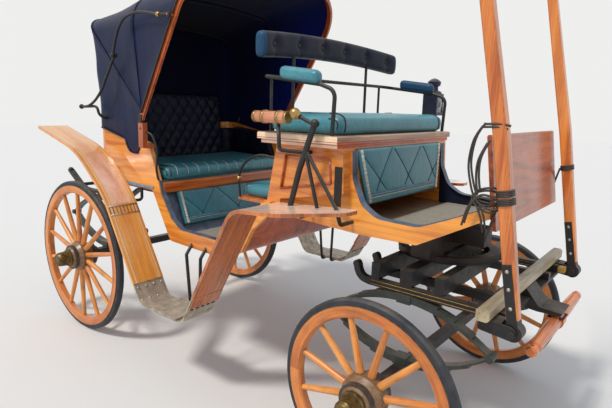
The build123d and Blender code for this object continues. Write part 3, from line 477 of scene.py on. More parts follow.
def leather_skin(name, colour, worn, pebbles, rough, coat=0.15, shine=0.5):
    """Grained hide that pales in patches and darkens in its creases."""
    finish = Finish(name, Coat_Weight=coat, Coat_Roughness=0.3, IOR=1.5, Specular_IOR_Level=shine)
    skin = finish.use(hide_grain, Vector=finish.place, Pebbles=pebbles)
    finish.colour = finish.tint(finish.times(skin["Patch"], 0.55), srgb(*colour), srgb(*worn))
    finish.lay(finish.times(skin["Crease"], 0.3), darkened(srgb(*colour), 0.5))
    finish.dust(0.14, 7.0)
    return finish.done(finish.span(skin["Patch"], 0.0, 1.0, rough, rough + 0.14), skin["Height"], 0.0006, 0.5)


def plain_stuff(name, colour, second, scale, rough, depth=0.0006, metal=0.0, coat=0.0):
    """Finish with one noise for its colour, roughness and bump."""
    finish = Finish(name, Coat_Weight=coat, IOR=1.5, Metallic=metal)
    mix = finish.noise(finish.place, scale, 5.0, 0.65)
    finish.colour = finish.tint(finish.span(mix, 0.35, 0.7), srgb(*colour), srgb(*second))
    return finish.done(finish.span(mix, 0.3, 0.7, rough - 0.1, rough + 0.1), mix, depth, 0.6)


def hub_iron(name):
    """Black bands and rim plate, with the cap outside the hub in dull brass."""
    finish = Finish(name, IOR=1.5)
    hub_face = axle_high.y - 0.030
    cap = finish.span(finish.size(finish.parts(finish.place)[1]), hub_face + 0.001, hub_face + 0.002)
    mottle = finish.noise(finish.place, 60.0, 5.0, 0.7)
    finish.colour = finish.tint(finish.span(mottle, 0.4, 0.7), srgb(46, 44, 42), srgb(92, 74, 58))
    finish.lay(cap, finish.tint(finish.span(mottle, 0.35, 0.65), srgb(128, 104, 58), srgb(62, 54, 36)))
    finish.wear(0.003, 50.0, 0.6, srgb(150, 132, 100))
    finish.feed(finish.times(cap, 0.75), finish.shader["Metallic"])
    return finish.done(finish.span(mottle, 0.3, 0.7, 0.38, 0.6), mottle, 0.0005, 0.6)


honey = (250, 164, 58), (196, 98, 22)
# Each kind of finish with its rows. Boards: grain, pale, dark, rings, coat
finish_rows = {
    varnished: {
        "panel wood": ("X", *honey, 8.0),
        "back wood": ("Y", *honey, 8.0),
        "upright wood": ("Z", (204, 98, 36), (136, 52, 16)),
        "rail wood": ("Y", (232, 124, 40), (172, 74, 18)),
        "dash wood": ("Y", (196, 92, 34), (126, 50, 16)),
        "grip wood": ("X", (236, 164, 122), (184, 104, 70)),
        "red wood": ("X", (204, 90, 30), (124, 44, 14)),
        "bow wood": ("Z", (204, 96, 34), (138, 52, 16), 4.0),
        "shaft wood": ("Z", (240, 142, 56), (176, 82, 24), 5.0),
        "box wood": ("XY", (240, 150, 60), (176, 84, 22), 9.0),
        "grey wood": ("Y", (196, 178, 142), (124, 110, 88), 7.0, 0.0),
        "floor boards": ("X", (150, 128, 100), (92, 76, 58), 7.0, 0.0)},
    # Irons: paint, colour of the chips, roughness, share of metal, wear
    painted_iron: {
        "black iron": ((26, 28, 32), (96, 58, 36)),
        "spring steel": ((66, 76, 74), (120, 112, 96), 0.38, 0.4),
        "lamp metal": ((18, 36, 72), (70, 74, 78), 0.3, 0.3),
        "rubber": ((40, 46, 56), (84, 88, 92), 0.62, 0.0, 0.25),
        # Painted shade: the turntable's red paint is darkened nearly to black, for the shadow under the boot
        "dark red paint": ((44, 22, 18), (96, 46, 30), 0.42, 0.0)},
    # Leathers: colour, worn colour, pebbles to the metre, roughness, coat, shine
    leather_skin: {
        "teal leather": ((44, 122, 140), (92, 172, 180), 330.0, 0.34, 0.25),
        # Painted shade: the navy leather is the teal leather darkened for pads and linings in deep shade, the
        # blue leather the same leather in half shade
        "navy leather": ((10, 15, 36), (20, 32, 62), 330.0, 0.42, 0.04, 0.2),
        "hood leather": ((13, 22, 54), (28, 46, 84), 260.0, 0.42, 0.05, 0.16),
        "blue leather": ((12, 60, 94), (22, 86, 122), 330.0, 0.40, 0.06, 0.25),
        "seam leather": ((22, 68, 84), (40, 92, 106), 330.0, 0.5),
        "strap leather": ((34, 28, 26), (74, 58, 46), 500.0, 0.5)},
    # Plain stuffs: two colours, noise scale, roughness, depth of the bump, metal, coat
    plain_stuff: {
        "lining rubber": ((98, 112, 132), (52, 62, 80), 14.0, 0.42),
        "piping": ((222, 222, 210), (170, 168, 152), 60.0, 0.6),
        "grey piping": ((140, 160, 178), (94, 110, 132), 60.0, 0.55),
        "mat": ((170, 162, 146), (104, 98, 88), 240.0, 0.95, 0.002),
        "brass": ((196, 164, 104), (134, 104, 62), 45.0, 0.34, 0.0006, 0.75),
        "lamp glass": ((20, 44, 66), (40, 78, 104), 8.0, 0.12, 0.0, 0.0, 1.0),
        "steel": ((196, 192, 184), (140, 132, 122), 60.0, 0.40, 0.0006, 0.7),
        "step plate": ((196, 184, 164), (140, 130, 116), 22.0, 0.5, 0.0004, 0.35),
        "red primer": ((146, 62, 44), (92, 42, 34), 40.0, 0.7),
        "yellow paint": ((196, 158, 60), (140, 104, 48), 60.0, 0.5)},
    seat_board_wood: {"seat board wood": ()},
    wing_wood: {"wing wood": ()},
    hub_iron: {"hub iron": ()},
    hood_cloth: {"hood lining": ()}}
materials = {name: maker(name, *facts) for maker, rows in finish_rows.items() for name, facts in rows.items()}

node_finish = {
    "side_planks": "panel wood", "back_panel": "back wood", "rear_seat_board": "floor boards",
    "cut_under_floor": "red wood", "rear_seat_rail": "rail wood", "driver_box": "box wood",
    "driver_seat_board": "seat board wood", "boot_sides": "panel wood", "boot_floor": "floor boards",
    "dash_board": "dash wood", "child_seat_board": "rail wood", "wings": "wing wood", "steps": "step plate",
    "hood_posts": "upright wood", "hood_bow_front": "bow wood", "hood_bow_mid": "hood lining",
    "hood_bow_rear": "hood lining", "shafts": "shaft wood", "whippletree": "rail wood",
    # The upper turntable's red paint is darkened as painted shade
    "splinter_bar": "grey wood", "hand_grip": "grip wood", "upper_turntable": "dark red paint",
    "rear_springs": "spring steel", "front_springs": "spring steel", "carriage_lamp": "lamp metal"}
felloe_depth = 0.048


def finish_nodes():
    """Gives each node of the model its finish in all its material slots."""
    for name in nodes:
        finish = node_finish.get(name, "black iron")
        if name.startswith("tyre_"):
            finish = "rubber"
        elif name.startswith("hub_irons_"):
            finish = "hub iron"
        elif name.startswith("wheel_"):
            finish = name
            low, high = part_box(name)
            felloe_in = (high.z - low.z) / 2 - felloe_depth
            materials[name] = wheel_wood("wood of " + name, (low + high) / 2, felloe_in)
        mesh = nodes[name].data
        for index in range(len(mesh.materials)):
            mesh.materials[index] = materials[finish]


# Pieces made in mesh code

def new_piece(name, build, material, body):
    """Turns a bmesh into a piece at the origin that rides on a body."""
    bmesh.ops.recalc_face_normals(build, faces=build.faces)
    mesh = bpy.data.meshes.new(name)
    build.to_mesh(mesh)
    build.free()
    for one in [material] if isinstance(material, str) else material:
        mesh.materials.append(materials[one])
    piece = bpy.data.objects.new(name, mesh)
    scene.collection.objects.link(piece)
    if body:
        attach(piece, body)
    return piece


def new_pad(name, build, material, node=None):
    """A padded piece on the carriage's body, in the place of a node where one is given."""
    piece = new_piece(name, build, material, "root")
    if node:
        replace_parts(piece, node)
    return piece


def soft_block(low, high, cell, round_off):
    """Block with rounded edges, divided into cells of about one size."""
    build = bmesh.new()
    low, high = Vector(low), Vector(high)
    size, middle = high - low, (high + low) / 2
    bmesh.ops.create_cube(build, size=1.0, matrix=Matrix.Translation(middle) @ Matrix.Diagonal((*size, 1)))
    for axis, way in enumerate((lengthwise, sideways, upward)):
        cuts = max(1, int(size[axis] / cell))
        for index in range(1, cuts):
            place = low.copy()
            place[axis] += size[axis] * index / cuts
            geometry = build.verts[:] + build.edges[:] + build.faces[:]
            bmesh.ops.bisect_plane(build, geom=geometry, plane_co=place, plane_no=way)
    half = size / 2
    for vertex in build.verts:
        local = vertex.co - middle
        core = Vector([max(-half[i] + round_off, min(half[i] - round_off, local[i])) for i in range(3)])
        out = local - core
        if out.length > 1e-6:
            vertex.co = middle + core + out.normalized() * min(out.length, round_off)
    return build


cushion_voxel = 0.012
swelling_frames = 20


def inflate(piece, pressure, cap):
    """Swells a closed soft piece with cloth pressure and keeps each point within cap of its place."""
    for other in bpy.context.view_layer.objects:
        other.select_set(False)
    bpy.context.view_layer.objects.active = piece
    piece.select_set(True)
    remesh = piece.modifiers.new("even cells", "REMESH")
    remesh.mode = "VOXEL"
    remesh.voxel_size = cushion_voxel
    bpy.ops.object.modifier_apply(modifier=remesh.name)
    start = [vertex.co.copy() for vertex in piece.data.vertices]
    cloth = piece.modifiers.new("swell", "CLOTH")
    cloth.settings.use_pressure = True
    cloth.settings.uniform_pressure_force = pressure
    cloth.settings.effector_weights.gravity = 0
    for number in range(1, swelling_frames + 1):
        scene.frame_set(number)
    bpy.ops.object.modifier_apply(modifier=cloth.name)
    for vertex, first in zip(piece.data.vertices, start):
        move = vertex.co - first
        if move.length > cap:
            vertex.co = first + move.normalized() * cap
    for face in piece.data.polygons:
        face.use_smooth = True
    scene.frame_set(1)


# Lines, cords, blocks and grids that the pieces below are made from

def rounded_line(rows, step=radians(9)):
    """Points along a line in the XZ plane with an arc at each corner; rows are x, z and radius."""
    points = []
    for index, (x, z, radius) in enumerate(rows):
        here = Vector((x, z))
        if radius == 0 or index in (0, len(rows) - 1):
            points.append(here)
            continue
        back = (Vector(rows[index - 1][:2]) - here).normalized()
        ahead = (Vector(rows[index + 1][:2]) - here).normalized()
        half = back.angle(ahead) / 2
        centre = here + (back + ahead).normalized() * radius / sin(half)
        first = here + back * radius * cos(half) / sin(half) - centre
        last = here + ahead * radius * cos(half) / sin(half) - centre
        turns = max(2, int(first.angle(last) / step))
        points += [centre + first.lerp(last, k / turns).normalized() * radius for k in range(turns + 1)]
    return points


def smooth_line(points, steps=5):
    """A round curve through points."""
    line = []
    for k in range(len(points) - 1):
        before, first, last = points[max(k - 1, 0)], points[k], points[k + 1]
        after = points[min(k + 2, len(points) - 1)]
        for j in range(steps):
            t = j / steps
            line.append((first * 2 + (last - before) * t + (before * 2 - first * 5 + last * 4 - after) * t * t
                         + (first * 3 - before - last * 3 + after) * t ** 3) / 2)
    return line + [points[-1]]


def way_at(line, index):
    """Direction of a line at one of its points."""
    return (line[min(index + 1, len(line) - 1)] - line[max(index - 1, 0)]).normalized()


def add_cord(build, points, radius, sides=6, slot_index=0, beads=0):
    """Adds a closed round cord through points; beads swells it that many times along its length."""
    rings = []
    side = upward
    for index, point in enumerate(points):
        ahead = way_at(points, index)
        side = side - ahead * side.dot(ahead)
        if side.length < 0.1:
            side = ahead.orthogonal()
        side.normalize()
        other = ahead.cross(side)
        swell = 0.72 + 0.28 * abs(sin(pi * beads * index / (len(points) - 1))) if beads else 1.0
        turns = [2 * pi * k / sides for k in range(sides)]
        rings.append([build.verts.new(point + (side * cos(turn) + other * sin(turn)) * radius * swell)
                      for turn in turns])
    faces = [build.faces.new(rings[0]), build.faces.new(list(reversed(rings[-1])))]
    for first, second in zip(rings, rings[1:]):
        faces += [build.faces.new((first[k], first[k - 1], second[k - 1], second[k])) for k in range(sides)]
    for face in faces:
        face.material_index = slot_index
        face.smooth = len(face.verts) == 4


def mark(made, slot_index, smooth=None):
    """Gives the faces of made vertices their slot; smooth 4 smooths four-sided faces, 0 all of them."""
    faces = list({face for vertex in made for face in vertex.link_faces})
    for face in faces:
        face.material_index = slot_index
        if smooth is not None:
            face.smooth = not smooth or len(face.verts) == smooth
    return faces


def add_block(build, low, high, slot_index=0, round_edge=0.0):
    """Adds a box between two corners, with its edges bevelled if asked."""
    place = Matrix.Translation((low + high) / 2) @ Matrix.Diagonal((*(high - low), 1))
    faces = mark(bmesh.ops.create_cube(build, size=1.0, matrix=place)["verts"], slot_index)
    if round_edge:
        edges = list({edge for face in faces for edge in face.edges})
        out = bmesh.ops.bevel(build, geom=edges, offset=round_edge, segments=2, profile=0.5, affect="EDGES",
                              material=-1)
        for face in out["faces"]:
            face.material_index = slot_index


def side_span(side, inner, outer):
    """Two distances from the middle plane as lower and higher y on one side."""
    return sorted((side * inner, side * outer))


def add_side_blocks(build, x_span, y_span, z_span, round_edge=0.0):
    """Adds a box on either side; y_span counts outwards from the middle plane."""
    for side in (-1, 1):
        low, high = side_span(side, *y_span)
        add_block(build, at(x_span[0], low, z_span[0]), at(x_span[1], high, z_span[1]), 0, round_edge)


def turned_to(way, centre):
    return Matrix.Translation(centre) @ upward.rotation_difference(Vector(way)).to_matrix().to_4x4()


def add_drum(build, centre, way, radius, depth, sides=12, slot_index=0):
    """Adds a disc or a band: a cylinder along a direction."""
    made = bmesh.ops.create_cone(build, cap_ends=True, segments=sides, radius1=radius, radius2=radius,
                                 depth=depth, matrix=turned_to(way, centre))
    mark(made["verts"], slot_index, 4)


def add_ball(build, centre, radius, slot_index=0, flat=1.0, way=upward, rows=8):
    """Adds a ball, or a button where flat is below 1 along way."""
    place = turned_to(way, centre) @ Matrix.Diagonal((1, 1, flat, 1))
    made = bmesh.ops.create_uvsphere(build, u_segments=rows + 4, v_segments=rows, radius=radius, matrix=place)
    mark(made["verts"], slot_index, 0)


def add_grid(build, place, across, along):
    """Adds a surface whose points come from place(u, v), u and v from 0 to 1."""
    made = bmesh.ops.create_grid(build, x_segments=across, y_segments=along, size=0.5)["verts"]
    for vertex in made:
        vertex.co = place(vertex.co.x + 0.5, vertex.co.y + 0.5)
    mark(made, 0, 0)
    return made


def rim(share, edge):
    """Rises from 0 at either end to 1, rounded over an edge share."""
    near = min(1.0, min(share, 1 - share) / edge)
    return sqrt(max(0.0, 1 - (1 - near) ** 2))


def add_pad(build, place, out, across, along, depth, edge_u, edge_v, relief):
    """Adds a closed stuffed pad on a base surface; out is its facing and relief(u, v) scales its height."""
    def front(u, v):
        return place(u, v) + out * (depth * rim(u, edge_u) * rim(v, edge_v) * relief(u, v))

    both = add_grid(build, front, across, along) + add_grid(build, place, across, along)
    bmesh.ops.remove_doubles(build, verts=both, dist=0.00002)


def add_ribbon(build, line, y_low, y_high, thick):
    """Adds a flat strip along a line in the XZ plane, lying on its upper side."""
    loops = []
    for lower, upper in zip(line, offset_line(line, thick)):
        corners = [(lower, y_low), (lower, y_high), (upper, y_high), (upper, y_low)]
        loops.append([build.verts.new(at(p.x, y, p.y)) for p, y in corners])
    build.faces.new(loops[0])
    build.faces.new(list(reversed(loops[-1])))
    for first, second in zip(loops, loops[1:]):
        for k in range(4):
            build.faces.new((first[k], second[k], second[k - 3], first[k - 3]))


def offset_line(line, distance):
    """A line in the XZ plane moved to its upper side."""
    ways = [way_at(line, index) for index in range(len(line))]
    return [Vector((point.x - way.y * distance, point.y + way.x * distance))
            for point, way in zip(line, ways)]


def add_cut_sheet(build, line, y_low, y_high, slot_index):
    """Adds a flat sheet whose outline is a closed line in the XZ plane."""
    near = [build.verts.new(at(p.x, y_low, p.y)) for p in line]
    grown = bmesh.ops.extrude_face_region(build, geom=[build.faces.new(near)])
    moved = [item for item in grown["geom"] if isinstance(item, bmesh.types.BMVert)]
    bmesh.ops.translate(build, verts=moved, vec=sideways * (y_high - y_low))
    mark(near + moved, slot_index)


def loose_parts(build):
    """Groups of joined vertices."""
    left = set(build.verts)
    while left:
        waiting = [left.pop()]
        group = set(waiting)
        while waiting:
            vertex = waiting.pop()
            others = {edge.other_vert(vertex) for edge in vertex.link_edges} & left
            left -= others
            group |= others
            waiting += others
        yield group


def trimmed_copy(node, dropped=None):
    """Copy of a solid node's mesh without the loose parts for which dropped(low, high) is true."""
    build = bmesh.new()
    build.from_mesh(nodes[node].data)
    build.transform(nodes[node].matrix_world)
    bmesh.ops.remove_doubles(build, verts=build.verts[:], dist=0.00002)
    for group in list(loose_parts(build)) if dropped else []:
        low, high = (Vector([pick(vertex.co[i] for vertex in group) for i in range(3)])
                     for pick in (min, max))
        low.x -= rear_axle_x
        high.x -= rear_axle_x
        if dropped(low, high):
            bmesh.ops.delete(build, geom=list(group), context="VERTS")
    for face in build.faces:
        face.material_index = 0
    return build


def diamonds(wide, tall, pitch_u, pitch_v, groove=0.35, low=0.62):
    """Relief of a diamond-quilted panel that measures wide by tall."""
    def relief(u, v):
        a = u * wide / pitch_u + v * tall / pitch_v
        b = u * wide / pitch_u - v * tall / pitch_v
        return low + (1 - low) * (abs(sin(pi * a)) * abs(sin(pi * b))) ** groove
    return relief


def diamond_corners(wide, tall, pitch_u, pitch_v):
    """Where the seams of a diamond-quilted panel cross, as u and v."""
    spots = [((i + j) / 2 * pitch_u / wide, (i - j) / 2 * pitch_v / tall)
             for i in range(-30, 31) for j in range(-30, 31)]
    return [(u, v) for u, v in spots if 0.03 < u < 0.97 and 0.04 < v < 0.96]


def diamond_seams(wide, tall, pitch_u, pitch_v, steps=96):
    """The seams of a diamond-quilted panel, each as a list of u and v."""
    across, down = wide / pitch_u, tall / pitch_v
    shares = [k / steps for k in range(steps + 1) if 0.05 < k / steps < 0.95]
    lines = [[(u, way * (u * across - n) / down) for u in shares] for n in range(-12, 13) for way in (-1, 1)]
    lines = [[(u, v) for u, v in line if 0.03 < v < 0.97] for line in lines]
    return [line for line in lines if len(line) > 3]


def arcs_over(piece, places, middle, first_turn, last_turn, radius, reach=0.20, steps=14):
    """Points of piping that runs over a cushion's rounded edge, one line for each place along Y."""
    tree = BVHTree.FromObject(piece, bpy.context.evaluated_depsgraph_get())
    lines = []
    for y in places:
        line = []
        for k in range(steps + 1):
            turn = radians(first_turn) + (radians(last_turn) - radians(first_turn)) * k / steps
            centre = at(middle[0], y, middle[1])
            start = centre + Vector((cos(turn), 0, sin(turn))) * reach
            hit, normal, _, _ = tree.ray_cast(start, (centre - start).normalized())
            if hit:
                line.append(hit + normal * radius * 0.35)
        if len(line) > 2:
            lines.append(line)
    return lines


# Hood: leather over three bows, each a share of the same arch

crown = 0.022
arch_start = 0.032
# Rows: angle from forward, reach, outer half width and corner radius of the leather over each bow
hood_rows = {"rear": (radians(136.6), 0.880, body_half + 0.023, 0.158),
             "mid": (radians(97.0), 0.712, body_half + 0.0405, 0.206),
             "front": (radians(58.4), 0.9445, body_half + 0.0575, 0.2845)}
leg_share = 0.40
bend_share = 0.66
rear_gap = 0.006
leather_thick = 0.003
hood_middle = at(0.42, 0, 1.72)


def arch_share(share):
    """Side of the carriage and run, from 0 at the foot to 1 at the crown, at a share of an arch."""
    return -1 if share < 0.5 else 1, 1 - abs(2 * share - 1)


def arch_point(share, half, reach, corner):
    """Left distance and distance from the pivot at a share of an arch, from right foot to left foot."""
    side, run = arch_share(share)
    if run < leg_share:
        return side * half, arch_start + (reach - corner - arch_start) * run / leg_share
    if run < bend_share:
        turn = (run - leg_share) / (bend_share - leg_share) * pi / 2
        return side * (half - corner + corner * cos(turn)), reach - corner + corner * sin(turn)
    along = (run - bend_share) / (1 - bend_share)
    return side * (half - corner) * (1 - along), reach + crown * (1 - (1 - along) ** 2)


def on_bow(name, share, forward=0.0, out=0.0):
    """Point of the leather over a bow, moved ahead of the bow's plane and outward."""
    angle, reach, half, corner = hood_rows[name]
    y, run = arch_point(share, half + out, reach + out, corner + out)
    x = hood_pivot.x + run * cos(angle) + forward * sin(angle)
    z = hood_pivot.z + run * sin(angle) - forward * cos(angle)
    return Vector((x, y, z))


belt_front_x = 0.560
belt_rear_x = 0.150
belt_back_x = 0.043
belt_corner = belt_rear_x - belt_back_x
belt_slope = 0.2115
tip_x = 0.455
tip_drop = 0.062


def on_belt(share):
    """Lower edge of the hood's rear panel, nailed along the top of the body, with a hanging tip in front."""
    side, run = arch_share(share)
    half = body_half + 0.0055
    if run < leg_share:
        x = belt_front_x + (belt_rear_x - belt_front_x) * run / leg_share
        fall = 0.034
        if x > 0.405:
            spread = (x - tip_x) / (0.055 if x < tip_x else 0.110)
            fall += tip_drop * max(0.0, 1 - spread * spread) ** 0.5
        if x > 0.53:
            fall *= max(0.0, (belt_front_x - x) / 0.03)
        return at(x, side * half, 1.291 + (belt_front_x - x) * belt_slope - fall)
    if run < bend_share:
        turn = (run - leg_share) / (bend_share - leg_share) * pi / 2
        y = half - belt_corner + belt_corner * cos(turn)
        return at(belt_rear_x - belt_corner * sin(turn), side * y, 1.345 + 0.004 * sin(turn))
    along = (run - bend_share) / (1 - bend_share)
    return at(belt_back_x, side * (half - belt_corner) * (1 - along), 1.349)


def hood_panel(first, last, rows, sag, seed, ripple):
    """Leather between two lines, a little slack, with its lining on the inside."""
    def waves(point, scale, seed):
        return noise_at(point * scale + Vector((seed, 0, 0)))

    def place(u, v):
        point = first(u).lerp(last(u), v)
        wave = waves(Vector((point.x * 0.6, point.y, point.z)), 5.0, seed)
        fine = waves(Vector((point.x, point.y, point.z * 0.5)), 17.0, seed + 3.0)
        slack = sin(pi * v) * (sag + ripple * wave + ripple * 0.35 * fine)
        return point + (hood_middle - point).normalized() * slack

    build = bmesh.new()
    add_grid(build, place, 110, rows)
    bmesh.ops.recalc_face_normals(build, faces=build.faces)
    for face in build.faces:
        if face.normal.dot(face.calc_center_median() - hood_middle) < 0:
            face.normal_flip()
    bmesh.ops.solidify(build, geom=build.faces[:], thickness=leather_thick)
    bmesh.ops.recalc_face_normals(build, faces=build.faces)
    for face in build.faces:
        inward = hood_middle - face.calc_center_median()
        face.material_index = 1 if face.normal.dot(inward) > 0.25 * inward.length else 0
        face.smooth = True
    return build


def make_hood():
    def rear_edge(share):
        return on_bow("rear", share, rear_gap)

    def mid_edge(share):
        return on_bow("mid", share)

    def front_edge(share):
        return on_bow("front", share, -leather_thick)

    # Rows: panel, node, edges; rows of cells, sag, noise seed and ripple; bodies; turn and reach of the fold
    panels = [
        ("hood_rear_panel", "hood_leather_rear", on_belt, rear_edge, (16, 0.010, 1.0, 0.009),
         ("root", "bow_rear"), (70.7, 0.15, 0.107)),
        ("hood_middle_panel", "hood_leather_mid", rear_edge, mid_edge, (12, 0.010, 7.0, 0.006),
         ("bow_rear", "bow_mid"), (26.8, 0.10, 0.10)),
        ("hood_front_panel", "hood_leather_front", mid_edge, front_edge, (14, 0.008, 12.0, 0.006),
         ("bow_mid", "bow_front"), (-12.3, 0.10, 0.10))]
    for name, node, first, last, slack, (first_body, last_body), (turn, before, after) in panels:
        build = hood_panel(first, last, *slack)
        panel = new_piece(name, build, ["hood leather", "hood lining"], None)
        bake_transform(panel)
        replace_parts(panel, node)

    def bow_line(name, forward, out, steps=72):
        return [on_bow(name, k / steps, forward, out) for k in range(steps + 1)]

    belt = [on_belt(k / 160) + Vector((0, 0.002 if k > 80 else -0.002, 0.004)) for k in range(9, 152)]
    for name, line, radius, sides, leather, body in (
            ("hood_front_binding", bow_line("front", -leather_thick, 0.0035), 0.0042, 8, "strap leather",
             "bow_front"),
            ("hood_rear_welt", bow_line("rear", rear_gap, 0.002), 0.0030, 6, "hood leather", "bow_rear"),
            ("hood_middle_welt", bow_line("mid", 0.0, 0.002), 0.0026, 6, "hood leather", "bow_mid"),
            ("hood_belt_welt", belt, 0.0034, 6, "strap leather", "root")):
        build = bmesh.new()
        add_cord(build, line, radius, sides)
        new_piece(name, build, leather, body)


# Upholstery

def make_cushion(name, node, low, high, cell, round_off, pressure, cap, stuffs, piping, base=None):
    """Swollen seat cushion. Rows of piping: places along Y, middle of the arc, its turns, radius and slot."""
    cushion = new_pad(name, soft_block(low, high, cell, round_off), stuffs, node)
    inflate(cushion, pressure, cap)
    build = bmesh.new()
    build.from_mesh(cushion.data)
    if base:
        add_block(build, *base)
    for places, middle, first_turn, last_turn, radius, slot_index in piping:
        for line in arcs_over(cushion, places, middle, first_turn, last_turn, radius):
            add_cord(build, line, radius, 6, slot_index)
    bmesh.ops.recalc_face_normals(build, faces=build.faces)
    build.to_mesh(cushion.data)
    build.free()


def make_fall(name, node, base, facing, quilt, foot_share, cells, depth, hem_out, hems, edge, seam):
    """Leather fall with stitched diamonds, a plain foot with two hems, and beaded sides.
    Quilt: width, height and pitch. Hems: share down, radius, slot. Edge: points, out, radius, beads.
    Seam: out, radius."""
    wide, tall, pitch = quilt
    stitched = diamonds(wide, tall, pitch, 0.30, 0.16, 0.45)

    def relief(u, v):
        return 0.8 if v > foot_share or u < 0.035 or u > 0.965 else stitched(u, v / foot_share)

    def run(start, k, steps):
        return start + (1 - 2 * start) * k / steps

    build = bmesh.new()
    add_pad(build, base, facing, *cells, depth, 0.015, 0.05, relief)
    for share, radius, slot_index in hems:
        hem = [base(run(0.03, k, 40), share) + facing * hem_out for k in range(41)]
        add_cord(build, hem, radius, 6, slot_index)
    steps, edge_out, edge_radius, beads = edge
    for u in (0.028, 0.972):
        side = [base(u, run(0.03, k, steps)) + facing * edge_out for k in range(steps + 1)]
        add_cord(build, side, edge_radius, 8, 1, beads)
    for line in diamond_seams(wide, tall, pitch, 0.30):
        add_cord(build, [base(u, v * foot_share) + facing * seam[0] for u, v in line], seam[1], 6, 3)
    new_pad(name, build, ["teal leather", "piping", "grey piping", "seam leather"], node)


def make_back_pad():
    half, foot, top = 0.440, 1.105, 1.585
    tuft_wide, tuft_tall, depth = 0.088, 0.120, 0.088
    wide, tall = 2 * half, top - foot
    quilt = diamonds(wide, tall, tuft_wide, tuft_tall)

    def base(u, v):
        return at(0.083 - 0.010 * v, -half + wide * u, foot + tall * v)

    def relief(u, v):
        return (1 - 0.42 * v) * quilt(u, v)

    build = bmesh.new()
    add_pad(build, base, lengthwise, 100, 56, depth, 0.05, 0.07, relief)
    for u, v in diamond_corners(wide, tall, tuft_wide, tuft_tall):
        sunk = lengthwise * (depth * rim(u, 0.05) * rim(v, 0.07) * (1 - 0.42 * v) * 0.64)
        add_ball(build, base(u, v) + sunk, 0.0075, 0, 0.5, lengthwise, 4)
    # Painted shade: the back pad takes the navy copy of the teal leather
    new_pad("rear_back_pad", build, "navy leather", "rear_backrest")


quarter_top = [(0.17, 1.352), (0.40, 1.330), (0.50, 1.290), (0.56, 1.250), (0.60, 1.165)]


def quarter_top_z(x):
    """Upper edge of the quarter pads, along rows of x and z."""
    for (x0, z0), (x1, z1) in zip(quarter_top, quarter_top[1:]):
        if x <= x1:
            return z0 + (z1 - z0) * max(0.0, (x - x0) / (x1 - x0))
    return quarter_top[-1][1]


def make_quarter_pad(side, name):
    """Pad on the inner face of a body side."""
    start, length, foot = 0.180, 0.415, 1.152

    def base(u, v):
        x = start + length * u
        return at(x, side * (inside_half - 0.001), foot + (quarter_top_z(x) - foot) * v)

    build = bmesh.new()
    add_pad(build, base, sideways * -side, 44, 22, 0.036, 0.07, 0.12, diamonds(length, 0.19, 0.083, 0.095))
    # Painted shade: the quarter pads take the navy copy of the teal leather
    new_pad(name, build, "navy leather")


def make_corner_lining():
    """Quilted lining round the back of the body, between the pads."""
    rear_x, corner, run_in, foot = 0.0745, 0.075, 0.42, 1.06
    bend = corner * pi / 2
    straight = inside_half - 0.0015 - corner
    length = 2 * (run_in + bend + straight)
    quilt = diamonds(length, 0.27, 0.088, 0.110)

    def place(u, v):
        run = (u - 0.5) * length
        side = -1 if run < 0 else 1
        reach = abs(run)
        if reach < straight:
            x, y, way = rear_x, reach, lengthwise
        elif reach < straight + bend:
            turn = (reach - straight) / corner
            x, y = rear_x + corner - corner * cos(turn), straight + corner * sin(turn)
            way = Vector((cos(turn), -side * sin(turn), 0))
        else:
            x, y, way = rear_x + corner + reach - straight - bend, straight + corner, sideways * -side
        top = 1.334 if x < 0.15 else 1.344 - (x - 0.15) * belt_slope
        swell = quilt(u, v) * rim(v, 0.12) * rim(u, 0.03)
        return at(x, side * y, foot + (top - foot) * v) + way * (0.001 + 0.014 * swell)

    build = bmesh.new()
    add_grid(build, place, 190, 22)
    bmesh.ops.solidify(build, geom=build.faces[:], thickness=0.001)
    # Painted shade: the lining takes the navy copy of the teal leather
    new_pad("rear_corner_lining", build, "navy leather")


def make_rear_seat():
    arc_middle = (0.690, 1.106)
    make_cushion("rear_cushion", "rear_seat_cushion", at(0.150, -0.527, 1.0665), at(0.729, 0.527, 1.146),
                 cell=0.030, round_off=0.034, pressure=3.0, cap=0.010,
                 stuffs=["teal leather", "piping", "strap leather"],
                 piping=[([-0.438 + 0.081 * k for k in range(12)], arc_middle, -18, 128, 0.0022, 1),
                         ((-0.508, -0.484, 0.484, 0.508), arc_middle, -30, 150, 0.0036, 2)],
                 base=(at(0.152, -0.526, 1.0195), at(0.694, 0.526, 1.0705)))
    make_back_pad()
    make_quarter_pad(-1, "rear_quarter_pad_right")
    make_quarter_pad(1, "rear_quarter_pad_left")
    make_corner_lining()

    # Fall below the seat rail
    top, foot, half = at(0.7155, 0, 0.9985), at(0.7965, 0, 0.803), 0.450

    def fall_base(u, v):
        return top.lerp(foot, v) + sideways * (-half + 2 * half * u)

    make_fall("rear_seat_fall", "rear_fall", fall_base, facing=Vector((0.926, 0, 0.378)),
              quilt=(2 * half, 0.212 * 0.78, 0.30), foot_share=0.80, cells=(120, 36), depth=0.011,
              hem_out=0.0105, hems=((0.82, 0.0032, 2), (0.865, 0.0020, 1)),
              edge=(60, 0.010, 0.0085, 11), seam=(0.0088, 0.0019))


def make_arm_pads():
    """Pads on the driver's arm rails, with fine pleats along them."""
    rail_y, rear, front, pleat_wide = 0.548, 1.640, 1.858, 0.0105
    # Painted shade: the left pad, on the side away from the light, takes the blue copy of the teal leather
    for side, name, leather in ((-1, "arm_pad_right", "teal leather"), (1, "arm_pad_left", "blue leather")):
        build = soft_block(at(rear, side * rail_y - 0.026, 1.640), at(front, side * rail_y + 0.026, 1.694),
                           0.006, 0.021)
        for vertex in build.verts:
            x = vertex.co.x - rear_axle_x
            if vertex.co.z > 1.67:
                pleat = abs(sin(pi * (vertex.co.y - side * rail_y) / pleat_wide))
                vertex.co.z += 0.0035 * pleat * max(0.0, min(1.0, (x - rear) / 0.03, (front - x) / 0.03))
            vertex.co.z -= 0.118 * (x - 1.650)
        for face in build.faces:
            face.smooth = True
        new_pad(name, build, leather)


